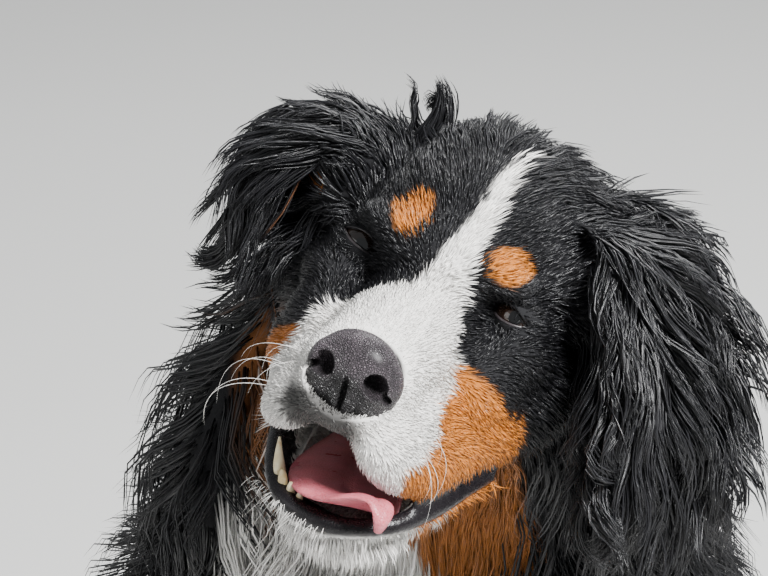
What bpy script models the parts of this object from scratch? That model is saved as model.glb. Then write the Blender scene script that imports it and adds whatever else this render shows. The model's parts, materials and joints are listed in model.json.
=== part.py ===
"""Bernese mountain dog, sitting with its head tilted, as a life-size still model.

The dog faces -Y, its left side is +X and it sits on Z = 0. All sizes are in metres, except
that the head is laid out in millimetres in a frame of its own: the origin lies midway
between the eyes, x points to the dog's left, -y forwards and z up. The body is modelled
whole, parted into named nodes by thin cuts, and each node then gets its own coat locks.
"""

import math
import random

import bmesh
import bpy
import numpy as np
from mathutils import Matrix, Vector
from mathutils.bvhtree import BVHTree
from mathutils.kdtree import KDTree

# Driving dimensions of the whole dog.
EYES_AT = Vector((0.055, -0.220, 0.800))
HEAD_YAW = math.radians(-3.0)
HEAD_PITCH = math.radians(13.9)
HEAD_ROLL = math.radians(18.4)
MM = 0.001

# Gaps and mesh fineness.
GAP = 0.0003
CLEARANCE = 0.00024
BODY_VOXEL = 0.0062
FINE_VOXEL = 0.0016
SEED = 11

# Eyes.
EYE_SPACING = 88.0
EYE_RADIUS = 12.0
EYE_CLEARANCE = 0.35
LID_RADIUS = 15.2
EYE_DEPTH = 11.0

# Coat depths and lock sizes of the long coat.
FLOOR_CLEARANCE = 0.004
LOCK_SINK = 0.009

# Teeth of the lower jaw that show: root, tip and radius in the head's frame, and how much
# each is bent forwards. The long one is the right canine.
TEETH = (
    (((-20, -61, -109), (-27.5, -65, -89.5), 3.6), 1.6),
    (((-16, -67, -111), (-18.5, -69.5, -103), 2.6), 0.0),
    (((-10, -70, -112.5), (-11.5, -72.5, -105), 2.5), 0.0),
    (((-4, -71, -113), (-4.5, -73.5, -106), 2.4), 0.0),
    (((-27, -48, -107), (-30, -49, -98), 3.0), 0.0),
    (((-32, -35, -103), (-34, -35, -95), 3.2), 0.0),
)

# Stations of the tail: x, y, z, half width, half height.
TAIL_PATH = [
    (0, 0.420, 0.110, 0.048, 0.045),
    (0, 0.475, 0.078, 0.040, 0.037),
    (-0.018, 0.535, 0.050, 0.035, 0.031),
    (-0.062, 0.592, 0.036, 0.034, 0.028),
    (-0.128, 0.638, 0.033, 0.034, 0.026),
    (-0.205, 0.664, 0.032, 0.030, 0.024),
    (-0.275, 0.672, 0.028, 0.020, 0.018),
]

# Shading: edges sharper than this stay sharp. Materials: color and roughness.
SHARP_ANGLE = math.radians(50)
FINISHES = {
    "coat_black": ((0.015, 0.015, 0.018), 0.5),
    "coat_white": ((0.80, 0.78, 0.74), 0.7),
    "coat_tan": ((0.42, 0.17, 0.05), 0.65),
    "nose_leather": ((0.045, 0.035, 0.04), 0.35),
    "tongue_flesh": ((0.62, 0.22, 0.25), 0.3),
    "eye": ((0.03, 0.015, 0.01), 0.05),
}

HEAD_MATRIX = (
    Matrix.Translation(EYES_AT)
    @ Matrix.Rotation(HEAD_YAW, 4, "Z")
    @ Matrix.Rotation(-HEAD_PITCH, 4, "X")
    @ Matrix.Rotation(HEAD_ROLL, 4, "Y")
    @ Matrix.Scale(MM, 4)
)


def clear_scene():
    """Removes every object of the startup scene."""
    for obj in list(bpy.data.objects):
        bpy.data.objects.remove(obj)


def finish(node, kind):
    """Gives a node smooth shading and a Principled material of its own."""
    node.data.polygons.foreach_set("use_smooth", [True] * len(node.data.polygons))
    node.data.set_sharp_from_angle(angle=SHARP_ANGLE)
    color, roughness = FINISHES[kind]
    made = bpy.data.materials.new(node.name + "_" + kind)
    made.use_nodes = True
    shader = made.node_tree.nodes["Principled BSDF"]
    shader.inputs["Base Color"].default_value = (*color, 1.0)
    shader.inputs["Roughness"].default_value = roughness
    shader.inputs["Metallic"].default_value = 0.0
    node.data.materials.clear()
    node.data.materials.append(made)


def object_of(name, mesh_data):
    """A scene object from a bmesh or a mesh."""
    if isinstance(mesh_data, bmesh.types.BMesh):
        mesh = bpy.data.meshes.new(name)
        mesh_data.to_mesh(mesh)
        mesh_data.free()
    else:
        mesh = mesh_data
    obj = bpy.data.objects.new(name, mesh)
    bpy.context.scene.collection.objects.link(obj)
    return obj


def remove(*objects):
    """Takes objects out of the scene."""
    for obj in objects:
        bpy.data.objects.remove(obj)


def apply_modifiers(obj):
    """Makes what the viewport shows the object's own mesh."""
    bpy.context.view_layer.update()
    graph = bpy.context.evaluated_depsgraph_get()
    made = bpy.data.meshes.new_from_object(obj.evaluated_get(graph))
    obj.modifiers.clear()
    obj.data = made
    return obj


def smooth_path(points, steps):
    """Catmull-Rom samples through rows of numbers, with steps samples between two rows."""
    rows = [np.array(p, float) for p in points]
    rows = [2 * rows[0] - rows[1], *rows, 2 * rows[-1] - rows[-2]]
    out = []
    for i in range(1, len(rows) - 2):
        a, b, c, d = rows[i - 1 : i + 3]
        for k in range(steps):
            t = k / steps
            out.append(
                0.5
                * (
                    2 * b
                    + (c - a) * t
                    + (2 * a - 5 * b + 4 * c - d) * t * t
                    + (3 * b - a - 3 * c + d) * t**3
                )
            )
    out.append(rows[-2])
    return out


def loft(stations, side=(1, 0, 0), around=20, steps=4, bow=0.0, frame=None, rounded=True):
    """A closed tube through stations of (x, y, z, half width, half height).

    side is the direction of the width at the first station. bow bends each cross-section
    into a trough, as a share of its half width. The ends are round unless rounded is off.
    """
    rows = smooth_path(stations, steps)
    centres = [Vector(r[:3]) for r in rows]
    bm = bmesh.new()
    across = Vector(side).normalized()
    rings = []
    last = len(rows) - 1
    for i, row in enumerate(rows):
        along = (centres[min(i + 1, last)] - centres[max(i - 1, 0)]).normalized()
        across = (across - along * across.dot(along)).normalized()
        up = across.cross(along)
        rings.append((centres[i], across.copy(), up, along, row[3], row[4]))

    def capped(ring, sign):
        """The smaller rings that round off one end."""
        centre, wide, up, along, w, h = ring
        reach = min(w, h)
        return [
            (
                centre + along * (sign * reach * math.sin(a)),
                wide,
                up,
                along,
                w * math.cos(a),
                h * math.cos(a),
            )
            for a in (math.radians(35), math.radians(68))
        ]

    if rounded:
        rings = capped(rings[0], -1)[::-1] + rings + capped(rings[-1], 1)
    loops = []
    for centre, wide, up, _, w, h in rings:
        loop = []
        for k in range(around):
            angle = 2 * math.pi * k / around
            u, v = math.cos(angle), math.sin(angle)
            loop.append(
                bm.verts.new(centre + wide * (w * u) + up * (h * v - bow * w * u * u))
            )
        loops.append(loop)
    for first, second in zip(loops, loops[1:]):
        for k in range(around):
            n = (k + 1) % around
            bm.faces.new((first[k], first[n], second[n], second[k]))
    bm.faces.new(loops[0][::-1])
    bm.faces.new(loops[-1])
    bmesh.ops.recalc_face_normals(bm, faces=bm.faces)
    if frame is not None:
        bm.transform(frame)
    return object_of("form", bm)


def ellipsoid(centre, radii, turn=(0, 0, 0), frame=None, around=20):
    """An ellipsoid. turn is an Euler rotation in degrees."""
    bm = bmesh.new()
    place = (
        Matrix.Translation(Vector(centre))
        @ Matrix.Rotation(math.radians(turn[2]), 4, "Z")
        @ Matrix.Rotation(math.radians(turn[1]), 4, "Y")
        @ Matrix.Rotation(math.radians(turn[0]), 4, "X")
        @ Matrix.Diagonal((*radii, 1.0))
    )
    bmesh.ops.create_uvsphere(
        bm,
        u_segments=around,
        v_segments=max(6, around // 2),
        radius=1.0,
        matrix=(frame or Matrix.Identity(4)) @ place,
    )
    return object_of("form", bm)


def both_sides(maker, centre, *sizes, **options):
    """The same form on the dog's left and right, mirrored in x."""
    turn = options.pop("turn", (0, 0, 0))
    x, y, z = centre
    return [
        maker((x, y, z), *sizes, turn=turn, **options),
        maker((-x, y, z), *sizes, turn=(turn[0], -turn[1], -turn[2]), **options),
    ]


def both_lofts(stations, **options):
    """The same loft on the dog's left and right."""
    return [
        loft([(s * x, y, z, w, h) for x, y, z, w, h in stations], **options)
        for s in (1, -1)
    ]


def joined(name, objects):
    """One object that holds all the given meshes."""
    bm = bmesh.new()
    for obj in objects:
        bm.from_mesh(obj.data)
    remove(*objects)
    return object_of(name, bm)


def blended(name, objects, voxel, passes, soft_passes=0, soft_zone=None):
    """Fuses overlapping forms into one skin. soft_zone picks points that are smoothed more."""
    whole = joined(name, objects)
    remesh = whole.modifiers.new("fuse", "REMESH")
    remesh.mode = "VOXEL"
    remesh.voxel_size = voxel
    apply_modifiers(whole)
    smooth = whole.modifiers.new("soften", "SMOOTH")
    smooth.factor = 0.5
    smooth.iterations = passes
    apply_modifiers(whole)
    if soft_passes:
        group = whole.vertex_groups.new(name="soft")
        picked = [v.index for v in whole.data.vertices if soft_zone(v.co)]
        group.add(picked, 1.0, "REPLACE")
        smooth = whole.modifiers.new("soften", "SMOOTH")
        smooth.factor = 0.5
        smooth.iterations = soft_passes
        smooth.vertex_group = group.name
        apply_modifiers(whole)
    return whole


def boolean(obj, other, operation, solver="MANIFOLD"):
    """Applies one Boolean of obj with another object or a collection."""
    modifier = obj.modifiers.new("boolean", "BOOLEAN")
    modifier.operation = operation
    modifier.solver = solver
    if isinstance(other, bpy.types.Collection):
        modifier.operand_type = "COLLECTION"
        modifier.collection = other
    else:
        modifier.object = other
    return apply_modifiers(obj)


def keep_largest(obj):
    """Keeps only the closed surface with the largest box."""
    bm = bmesh.new()
    bm.from_mesh(obj.data)
    unseen = set(bm.verts)
    shells = []
    while unseen:
        stack = [unseen.pop()]
        shell = set(stack)
        while stack:
            for edge in stack.pop().link_edges:
                for vert in edge.verts:
                    if vert in unseen:
                        unseen.discard(vert)
                        shell.add(vert)
                        stack.append(vert)
        shells.append(shell)
    shells.sort(key=len, reverse=True)
    spare = [v for shell in shells[1:] for v in shell]
    bmesh.ops.delete(bm, geom=spare, context="VERTS")
    bm.to_mesh(obj.data)
    bm.free()
    return obj


def box(low, high):
    """A cutter block between two corners."""
    bm = bmesh.new()
    size = Vector(high) - Vector(low)
    centre = (Vector(high) + Vector(low)) / 2
    bmesh.ops.create_cube(
        bm, size=1.0, matrix=Matrix.Translation(centre) @ Matrix.Diagonal((*size, 1.0))
    )
    return object_of("cutter", bm)


def beyond_plane(point, normal, shift=0.0):
    """A large cutter block that fills the side of a plane to which normal points."""
    bm = bmesh.new()
    size = 3.0
    turn = Vector(normal).to_track_quat("Z", "Y").to_matrix().to_4x4()
    place = Matrix.Translation(Vector(point) + Vector(normal).normalized() * (size / 2 + shift))
    bmesh.ops.create_cube(bm, size=size, matrix=place @ turn)
    return object_of("cutter", bm)


def copy_of(obj, name):
    """A second object with the same mesh."""
    made = bpy.data.objects.new(name, obj.data.copy())
    bpy.context.scene.collection.objects.link(made)
    return made


def split_off(whole, name, cutter_of):
    """Parts whole with a thin cut: the piece inside the cutter is returned.

    cutter_of takes a margin and returns a cutter grown by it.
    """
    piece = copy_of(whole, name)
    inner, outer = cutter_of(-GAP / 2), cutter_of(GAP / 2)
    boolean(piece, inner, "INTERSECT")
    boolean(whole, outer, "DIFFERENCE")
    remove(inner, outer)
    keep_largest(whole)
    return keep_largest(piece)


def grown_box(low, high):
    """A box for split_off, which grows by a margin on every side."""
    return lambda margin: box(Vector(low) - Vector((margin,) * 3), Vector(high) + Vector((margin,) * 3))


def grown_half_space(point, normal):
    """The space beyond a plane for split_off, which grows by a margin."""
    return lambda margin: beyond_plane(point, normal, -margin)


def open_points(obj):
    """Where an edge hasn't two faces or a point hasn't one fan of faces."""
    bm = bmesh.new()
    bm.from_mesh(obj.data)
    found = [v.co.copy() for e in bm.edges if not e.is_manifold for v in e.verts]
    found += [v.co.copy() for v in bm.verts if not v.is_manifold]
    bm.free()
    return found


def neighbours(vert):
    """The points that share an edge with a point."""
    return {edge.other_vert(vert) for edge in vert.link_edges}


def welded(obj, distance=0.00012):
    """Collapses the shortest edges, which a cut leaves, where the mesh stays closed for it."""
    bm = bmesh.new()
    bm.from_mesh(obj.data)
    bmesh.ops.triangulate(bm, faces=bm.faces)
    found = True
    while found:
        found = False
        for edge in bm.edges:
            a, b = edge.verts
            if edge.calc_length() < distance and len(neighbours(a) & neighbours(b)) == 2:
                bmesh.ops.collapse(bm, edges=[edge])
                found = True
                break
    bmesh.ops.triangulate(bm, faces=bm.faces)
    bm.to_mesh(obj.data)
    bm.free()
    return obj


def spread(obj, least=0.000015):
    """Moves points that all but touch a few hundredths of a millimetre apart."""
    points = obj.data.vertices
    tree = KDTree(len(points))
    for v in points:
        tree.insert(v.co, v.index)
    tree.balance()
    draw = random.Random(SEED)
    for v in points:
        if any(k > v.index for _, k, _ in tree.find_range(v.co, least)):
            v.co += Vector([draw.choice((-1, 1)) * draw.uniform(1, 2) * least for _ in range(3)])
    return obj


def dissolved(mesh, distance):
    """A triangulated copy of a mesh without its shortest edges and thinnest faces."""
    bm = bmesh.new()
    bm.from_mesh(mesh)
    bmesh.ops.triangulate(bm, faces=bm.faces)
    bmesh.ops.dissolve_degenerate(bm, dist=distance, edges=bm.edges)
    bmesh.ops.triangulate(bm, faces=bm.faces)
    made = mesh.copy()
    bm.to_mesh(made)
    bm.free()
    return made


def reduced(obj, triangles):
    """Collapses a mesh to about that many triangles, by the first way that keeps it closed."""
    full = obj.data
    full.calc_loop_triangles()
    now = len(full.loop_triangles)
    if now <= triangles:
        return obj
    for more in (1.0, 1.05, 1.12, 1.2, 1.35, 1.5):
        for distance in (0.00012, 0.00001, 0.0003, 0.00006, 0.0006):
            obj.data = dissolved(full, distance)
            thin = obj.modifiers.new("thin", "DECIMATE")
            thin.ratio = min(1.0, more * triangles / now)
            apply_modifiers(obj)
            if not open_points(obj):
                return obj
    obj.data = full
    return obj


def triangulated(obj):
    """Splits every face in triangles, so that it can't be read as two different surfaces."""
    bm = bmesh.new()
    bm.from_mesh(obj.data)
    bmesh.ops.triangulate(bm, faces=bm.faces)
    bm.to_mesh(obj.data)
    bm.free()
    return obj


def clear_of(obj, *others, clearance=CLEARANCE):
    """Cuts from obj what other nodes fill, and a small gap around them."""
    triangulated(obj)
    for other in others:
        bm = bmesh.new()
        bm.from_mesh(triangulated(other).data)
        bm.normal_update()
        steps = [v.normal * clearance * min(v.calc_shell_factor(), 3.0) for v in bm.verts]
        for vert, step in zip(bm.verts, steps):
            vert.co += step
        cutter = object_of("cutter", bm)
        boolean(obj, cutter, "DIFFERENCE")
        boolean(obj, other, "DIFFERENCE")
        remove(cutter)
    return keep_largest(obj)


def surface_of(*objects):
    """A search tree of the faces of one or more meshes."""
    points = []
    faces = []
    for obj in objects:
        first = len(points)
        points += [v.co.copy() for v in obj.data.vertices]
        faces += [[first + k for k in p.vertices] for p in obj.data.polygons]
    return BVHTree.FromPolygons(points, faces)


class Coat:
    """Lays flat, tapered locks over a core that they grow from.

    The locks follow surface, which may run on past the core into its neighbours.
    """

    def __init__(self, core, seed, surface=None):
        """Starts a coat with no locks, whose random draws follow from seed."""
        self.core = core
        self.random = random.Random(SEED * 1000 + seed)
        self.tree = surface or surface_of(core)
        self.locks = []

    def roots(self, count, where):
        """Points spread evenly over the part of the core that where accepts."""
        mesh = self.core.data
        mesh.calc_loop_triangles()
        points = np.array([v.co for v in mesh.vertices])
        faces = np.array([t.vertices for t in mesh.loop_triangles])
        corners = points[faces]
        normals = np.cross(corners[:, 1] - corners[:, 0], corners[:, 2] - corners[:, 0])
        areas = np.linalg.norm(normals, axis=1)
        draw = np.random.default_rng(self.random.randrange(10**6))
        picked = draw.choice(len(faces), size=4000, p=areas / areas.sum())
        u, v = draw.random((2, 4000))
        flip = u + v > 1
        u[flip], v[flip] = 1 - u[flip], 1 - v[flip]
        c = corners[picked]
        spots = c[:, 0] + u[:, None] * (c[:, 1] - c[:, 0]) + v[:, None] * (c[:, 2] - c[:, 0])
        facing = normals[picked] / np.maximum(areas[picked], 1e-12)[:, None]
        kept = [i for i in range(4000) if where(Vector(spots[i]), Vector(facing[i]))]
        if not kept:
            return []
        spots, facing = spots[kept], facing[kept]
        chosen = [0]
        far = np.linalg.norm(spots - spots[0], axis=1)
        while len(chosen) < min(count, len(spots)):
            k = int(far.argmax())
            chosen.append(k)
            far = np.minimum(far, np.linalg.norm(spots - spots[k], axis=1))
        return [(Vector(spots[k]), Vector(facing[k])) for k in chosen]

    def lock(self, root, lay, length, width, lift, sink=LOCK_SINK, rings=4, wave=0.12, thick=0.16):
        """One lock that starts inside the core, follows its surface and ends clear of it."""
        spot, normal, _, _ = self.tree.find_nearest(root)
        along = (lay - normal * lay.dot(normal)).normalized()
        phase = self.random.uniform(0, 2 * math.pi)
        bm = bmesh.new()
        loops = []
        for i in range(rings + 1):
            s = i / rings
            height = -sink + (lift + sink) * s**0.8
            centre = spot + normal * height
            taper = (0.72 + 1.1 * s) if s < 0.25 else (1 - ((s - 0.25) / 0.75) ** 1.7)
            across = normal.cross(along).normalized()
            centre = centre + across * (wave * width * math.sin(phase + 5.0 * s) * s)
            centre.z = max(centre.z, FLOOR_CLEARANCE)
            half = width / 2 * taper
            if i == rings:
                loops.append([bm.verts.new(centre)])
            else:
                loops.append(
                    [
                        bm.verts.new(centre - across * half),
                        bm.verts.new(centre + normal * (thick * width * (0.4 + 0.6 * taper))),
                        bm.verts.new(centre + across * half),
                    ]
                )
            ahead = spot + along * (length / rings)
            near, near_normal, _, _ = self.tree.find_nearest(ahead)
            if (ahead - near).length < 0.05:
                free = ahead.lerp(near, 0.75)
                turned = (normal * 0.4 + near_normal * 0.6).normalized()
            else:
                free, turned = ahead, normal
            step = (free - spot).normalized()
            bend = (lay - turned * lay.dot(turned)).normalized()
            normal = turned
            along = (step * 0.6 + bend * 0.4).normalized()
            along = (along - normal * along.dot(normal)).normalized()
            spot = free
        for first, second in zip(loops, loops[1:]):
            for k in range(3):
                n = (k + 1) % 3
                if len(second) == 1:
                    bm.faces.new((first[k], first[n], second[0]))
                else:
                    bm.faces.new((first[k], first[n], second[n]))
                    bm.faces.new((first[k], second[n], second[k]))
        bm.faces.new(loops[0][::-1])
        bmesh.ops.recalc_face_normals(bm, faces=bm.faces)
        self.locks.append(object_of("lock", bm))

    def lay(self, count, where, lay, length, width, lift, **options):
        """Lays count locks over a zone, each a little different from the next."""
        for spot, normal in self.roots(count, where):
            way = lay(spot, normal).normalized()
            vary = self.random.uniform
            self.lock(
                spot,
                (way + Vector((vary(-1, 1), vary(-1, 1), vary(-1, 1))) * 0.10).normalized(),
                length * vary(0.86, 1.14),
                width * vary(0.88, 1.12),
                lift * vary(0.75, 1.25),
                **options,
            )

    def fuse(self, growth=1.1):
        """Joins the locks to the core in one closed body, with growth times their triangles."""
        if not self.locks:
            return self.core
        pile = bpy.data.collections.new("locks")
        bpy.context.scene.collection.children.link(pile)
        for lock in self.locks:
            bpy.context.scene.collection.objects.unlink(lock)
            pile.objects.link(lock)
        self.core.data.calc_loop_triangles()
        before = len(self.core.data.loop_triangles) + sum(len(k.data.polygons) for k in self.locks)
        boolean(self.core, pile, "UNION")
        remove(*self.locks)
        bpy.data.collections.remove(pile)
        self.locks = []
        return reduced(keep_largest(self.core), int(before * growth))


def head_point(x, y, z):
    """A point of the head's own millimetre frame, in the model's frame."""
    return HEAD_MATRIX @ Vector((x, y, z))


def head_way(x, y, z):
    """A direction of the head's own frame, in the model's frame."""
    return (HEAD_MATRIX.to_3x3() @ Vector((x, y, z))).normalized()


def in_head(point):
    """A point of the model's frame, in the head's own millimetre frame."""
    return HEAD_MATRIX.inverted() @ point


def skull_forms():
    """The skull, brows, cheeks, muzzle and upper lips, as overlapping forms."""
    place = {"frame": HEAD_MATRIX}
    forms = [
        ellipsoid((0, 66, 10), (66, 84, 60), **place),
        ellipsoid((0, 22, 12), (50, 44, 38), **place),
        loft(
            [
                (0, 20, -20, 36, 30),
                (0, -14, -26, 34, 30),
                (0, -45, -36, 33, 29),
                (0, -74, -42, 32, 28),
                (1, -86, -45, 29, 25),
            ],
            side=(1, 0, 0),
            **place,
        ),
        ellipsoid((0, 70, -58), (52, 56, 44), **place),
    ]
    forms += both_sides(ellipsoid, (29, 4, 20), (23, 22, 15), turn=(0, 12, 0), **place)
    forms += both_sides(ellipsoid, (50, 20, -20), (24, 34, 24), **place)
    forms += both_sides(ellipsoid, (52, 50, -40), (30, 48, 46), **place)
    forms += both_sides(ellipsoid, (54, 14, -60), (20, 34, 26), **place)
    forms += both_sides(ellipsoid, (42, 2, -42), (26, 34, 30), **place)
    # The upper lips hang a little towards the dog's left, the low side of the tilted head.
    for side, droop in ((1, 6.0), (-1, 0.0)):
        forms.append(
            loft(
                [
                    (side * 12 + 2, -86, -54, 13, 13),
                    (side * 24 + droop / 2, -76, -62, 16, 21),
                    (side * 31 + droop, -55, -66, 14, 22),
                    (side * 40 + droop, -30, -66, 13, 19),
                    (side * 52 + droop / 2, -6, -64, 12, 14),
                ],
                side=(1, 0, 0),
                **place,
            )
        )
    return forms


def trunk_forms():
    """The neck, chest, back, rump and tail."""
    forms = [
        loft(
            [
                (0.056, -0.112, 0.765, 0.082, 0.082),
                (0.048, -0.088, 0.715, 0.098, 0.092),
                (0.028, -0.048, 0.645, 0.124, 0.114),
                (0.010, -0.010, 0.575, 0.144, 0.138),
                (0.0, 0.015, 0.505, 0.152, 0.148),
            ]
        ),
        loft(
            [
                (0, -0.045, 0.520, 0.130, 0.120),
                (0, 0.020, 0.460, 0.152, 0.165),
                (0, 0.120, 0.380, 0.154, 0.172),
                (0, 0.220, 0.295, 0.150, 0.165),
                (0, 0.310, 0.215, 0.152, 0.156),
                (0, 0.380, 0.150, 0.134, 0.128),
                (0, 0.415, 0.110, 0.108, 0.102),
            ],
            around=28,
        ),
        ellipsoid((0, 0.030, 0.570), (0.080, 0.085, 0.075)),
        ellipsoid((0, -0.105, 0.470), (0.118, 0.080, 0.125)),
        ellipsoid((0, -0.070, 0.375), (0.085, 0.080, 0.085)),
        ellipsoid((0, 0.400, 0.085), (0.125, 0.085, 0.095)),
        loft(TAIL_PATH),
    ]
    forms += both_sides(ellipsoid, (0.108, -0.020, 0.455), (0.064, 0.095, 0.145), turn=(-8, 0, 0))
    return forms


def toes(x, y, z):
    """Four toes of a paw whose middle is at (x, y, z)."""
    out = []
    for spread, ahead in ((-0.030, 0.026), (-0.0105, 0.042), (0.0105, 0.042), (0.030, 0.026)):
        centre = (x + spread, y - ahead, z - 0.006)
        out.append(ellipsoid(centre, (0.0135, 0.026, 0.022), turn=(0, 0, -600 * spread)))
    return out


def leg_forms():
    """The four legs with their paws."""
    forms = both_lofts(
        [
            (0.098, -0.005, 0.420, 0.050, 0.070),
            (0.096, -0.010, 0.340, 0.043, 0.058),
            (0.090, -0.040, 0.250, 0.036, 0.042),
            (0.087, -0.060, 0.160, 0.032, 0.034),
            (0.087, -0.070, 0.100, 0.033, 0.034),
            (0.089, -0.085, 0.050, 0.036, 0.036),
        ]
    )
    forms += both_sides(ellipsoid, (0.091, -0.112, 0.027), (0.042, 0.052, 0.034))
    forms += both_sides(ellipsoid, (0.128, 0.265, 0.205), (0.070, 0.138, 0.132), turn=(20, 0, 6))
    forms += both_sides(ellipsoid, (0.142, 0.150, 0.205), (0.048, 0.070, 0.070))
    forms += both_lofts(
        [
            (0.150, 0.135, 0.165, 0.046, 0.050),
            (0.152, 0.240, 0.100, 0.040, 0.044),
            (0.150, 0.330, 0.062, 0.030, 0.036),
        ]
    )
    forms += both_lofts(
        [
            (0.150, 0.350, 0.040, 0.028, 0.032),
            (0.153, 0.260, 0.034, 0.031, 0.030),
            (0.158, 0.180, 0.034, 0.034, 0.030),
        ]
    )
    forms += both_sides(ellipsoid, (0.160, 0.135, 0.027), (0.041, 0.055, 0.033))
    for side in (1, -1):
        forms += toes(side * 0.091, -0.120, 0.026)
        forms += toes(side * 0.160, 0.125, 0.026)
    return forms


def claws(x, y, z):
    """The four claws of a paw whose middle is at (x, y, z)."""
    out = []
    for spread, ahead in ((-0.030, 0.026), (-0.0105, 0.042), (0.0105, 0.042), (0.030, 0.026)):
        out.append(
            loft(
                [
                    (x + spread, y - ahead - 0.016, z - 0.006, 0.0042, 0.0045),
                    (x + spread * 1.05, y - ahead - 0.026, z - 0.011, 0.0032, 0.0036),
                    (x + spread * 1.1, y - ahead - 0.033, z - 0.018, 0.0014, 0.0016),
                ],
                around=6,
                steps=1,
                rounded=False,
            )
        )
    return out


def fuse_pieces(core, pieces, growth=1.1):
    """Joins small closed pieces to a core, with growth times their triangles."""
    coat = Coat(core, 0)
    coat.locks = pieces
    return coat.fuse(growth)


def crown_and_ear_roots():
    """The crown of the head, and the flesh between the skull and the leaves of the ears."""
    place = {"frame": HEAD_MATRIX, "around": 11}
    crown = ellipsoid((0, 54, 30), (54, 60, 49), **place)
    return [crown] + both_sides(ellipsoid, (71, 50, 22), (19, 25, 33), **place)


def whole_body():
    """The skin of the head, trunk, legs and tail in one piece."""

    def away_from_face(point):
        return in_head(point).y > 70.0

    body = blended(
        "body",
        skull_forms() + trunk_forms() + leg_forms(),
        BODY_VOXEL,
        3,
        soft_passes=6,
        soft_zone=away_from_face,
    )
    return keep_largest(body)


def cut_at_floor(node):
    """Cuts a node flat at the floor, where it rests."""
    below = box((-2, -2, -1), (2, 2, 0))
    boolean(node, below, "DIFFERENCE")
    remove(below)
    return keep_largest(node)


def eyelids(head, side):
    """Raises a lid dome round one eye and opens it with a slit over the eyeball."""
    centre = Vector((side * EYE_SPACING / 2, EYE_DEPTH, -1))
    dome = ellipsoid(centre, (LID_RADIUS + 2, LID_RADIUS, LID_RADIUS - 1.5), frame=HEAD_MATRIX, around=12)
    boolean(head, dome, "UNION")
    slit = ellipsoid(
        centre + Vector((side * 1.5, -12, 0)),
        (12.5, 9, 4.6),
        turn=(0, side * 6, side * 22),
        frame=HEAD_MATRIX,
        around=10,
    )
    boolean(head, slit, "DIFFERENCE")
    ball = ellipsoid(centre, (EYE_RADIUS + EYE_CLEARANCE,) * 3, frame=HEAD_MATRIX, around=16)
    boolean(head, ball, "DIFFERENCE")
    remove(dome, slit, ball)


def eyeball(name, side):
    """One eyeball, on the dog's left for side 1 and on its right for side -1."""
    eye = ellipsoid(
        (side * EYE_SPACING / 2, EYE_DEPTH, -1), (EYE_RADIUS,) * 3, frame=HEAD_MATRIX, around=16
    )
    eye.name = name
    return eye


def nose_leather():
    """The nose pad with its two nostrils and the groove between them."""
    place = {"frame": HEAD_MATRIX}
    pad = blended(
        "nose",
        [
            ellipsoid((0, -93, -33), (21, 14, 16), **place),
            ellipsoid((13, -92, -38), (11, 12, 14), **place),
            ellipsoid((-13, -92, -38), (11, 12, 14), **place),
            ellipsoid((0, -95, -46), (11, 9, 15), **place),
        ],
        FINE_VOXEL,
        4,
    )
    reduced(pad, 260)
    back = beyond_plane(head_point(0, -87, -36), head_way(0, 1, 0))
    boolean(pad, back, "DIFFERENCE")
    remove(back)
    for side in (1, -1):
        turn = (0, side * 20, side * 25)
        hole = ellipsoid((side * 13, -106, -38), (6, 12, 6.5), turn=turn, around=8, **place)
        boolean(pad, hole, "DIFFERENCE")
        turn = (0, side * 35, 0)
        slot = ellipsoid((side * 20, -98, -44), (6, 10, 2.6), turn=turn, around=8, **place)
        boolean(pad, slot, "DIFFERENCE")
        remove(hole, slot)
    groove = ellipsoid((0, -108, -52), (1.6, 6, 18), around=8, **place)
    boolean(pad, groove, "DIFFERENCE")
    remove(groove)
    return keep_largest(pad)


def tooth(base, tip, radius, lean=0.0):
    """A pointed tooth from the middle of its root to its tip, in the head's frame."""
    base, tip = Vector(base), Vector(tip)
    middle = base.lerp(tip, 0.45) + Vector((0, -lean, 0))
    rows = [
        (*base, radius, radius),
        (*middle, radius * 0.82, radius * 0.86),
        (*tip, radius * 0.18, radius * 0.2),
    ]
    return loft(rows, around=6, steps=1, frame=HEAD_MATRIX, rounded=False)


def lower_jaw():
    """The lower jaw with its lip, the trough of the mouth and the teeth that show."""
    place = {"frame": HEAD_MATRIX}
    jaw = blended(
        "lower_jaw",
        [
            loft(
                [
                    (2, 45, -98, 44, 22),
                    (4, 15, -103, 44, 20),
                    (7, -20, -109, 42, 17),
                    (10, -48, -117, 34, 14),
                    (10, -64, -121, 25, 12),
                ],
                **place,
            ),
            loft(
                [
                    (62, 8, -80, 8, 10),
                    (58, -18, -86, 7, 8),
                    (52, -44, -96, 7, 7.5),
                    (40, -66, -106, 7, 7.5),
                    (22, -76, -113, 7, 7.5),
                    (4, -77, -115, 7, 7.5),
                    (-13, -71, -114, 7, 7.5),
                    (-28, -52, -108, 7, 7.5),
                    (-40, -22, -98, 7, 8),
                    (-49, 8, -86, 8, 10),
                ],
                side=(0, 1, 0),
                **place,
            ),
        ],
        FINE_VOXEL * 2,
        4,
    )
    reduced(jaw, 420)
    trough = loft(
        [(4, 40, -76, 30, 16), (6, 0, -88, 32, 15), (10, -36, -98, 29, 13), (12, -57, -104, 21, 10)],
        around=14,
        **place,
    )
    boolean(jaw, trough, "DIFFERENCE")
    remove(trough)
    teeth = [tooth(*row, lean=lean) for row, lean in TEETH]
    return fuse_pieces(jaw, teeth)


def tongue():
    """The tongue lies in the lower jaw and hangs over the lip on the dog's left."""
    return loft(
        [
            (4, 34, -79, 20, 6),
            (3, 5, -85, 24, 6),
            (3, -25, -91, 25, 6),
            (6, -48, -98, 24, 5.5),
            (14, -66, -103, 20, 5),
            (27, -80, -102, 13.5, 4.4),
            (37, -89, -104, 9.5, 3.8),
            (42, -92, -114, 6.5, 3.2),
        ],
        around=10,
        steps=2,
        bow=-0.12,
        frame=HEAD_MATRIX,
    )


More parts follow.
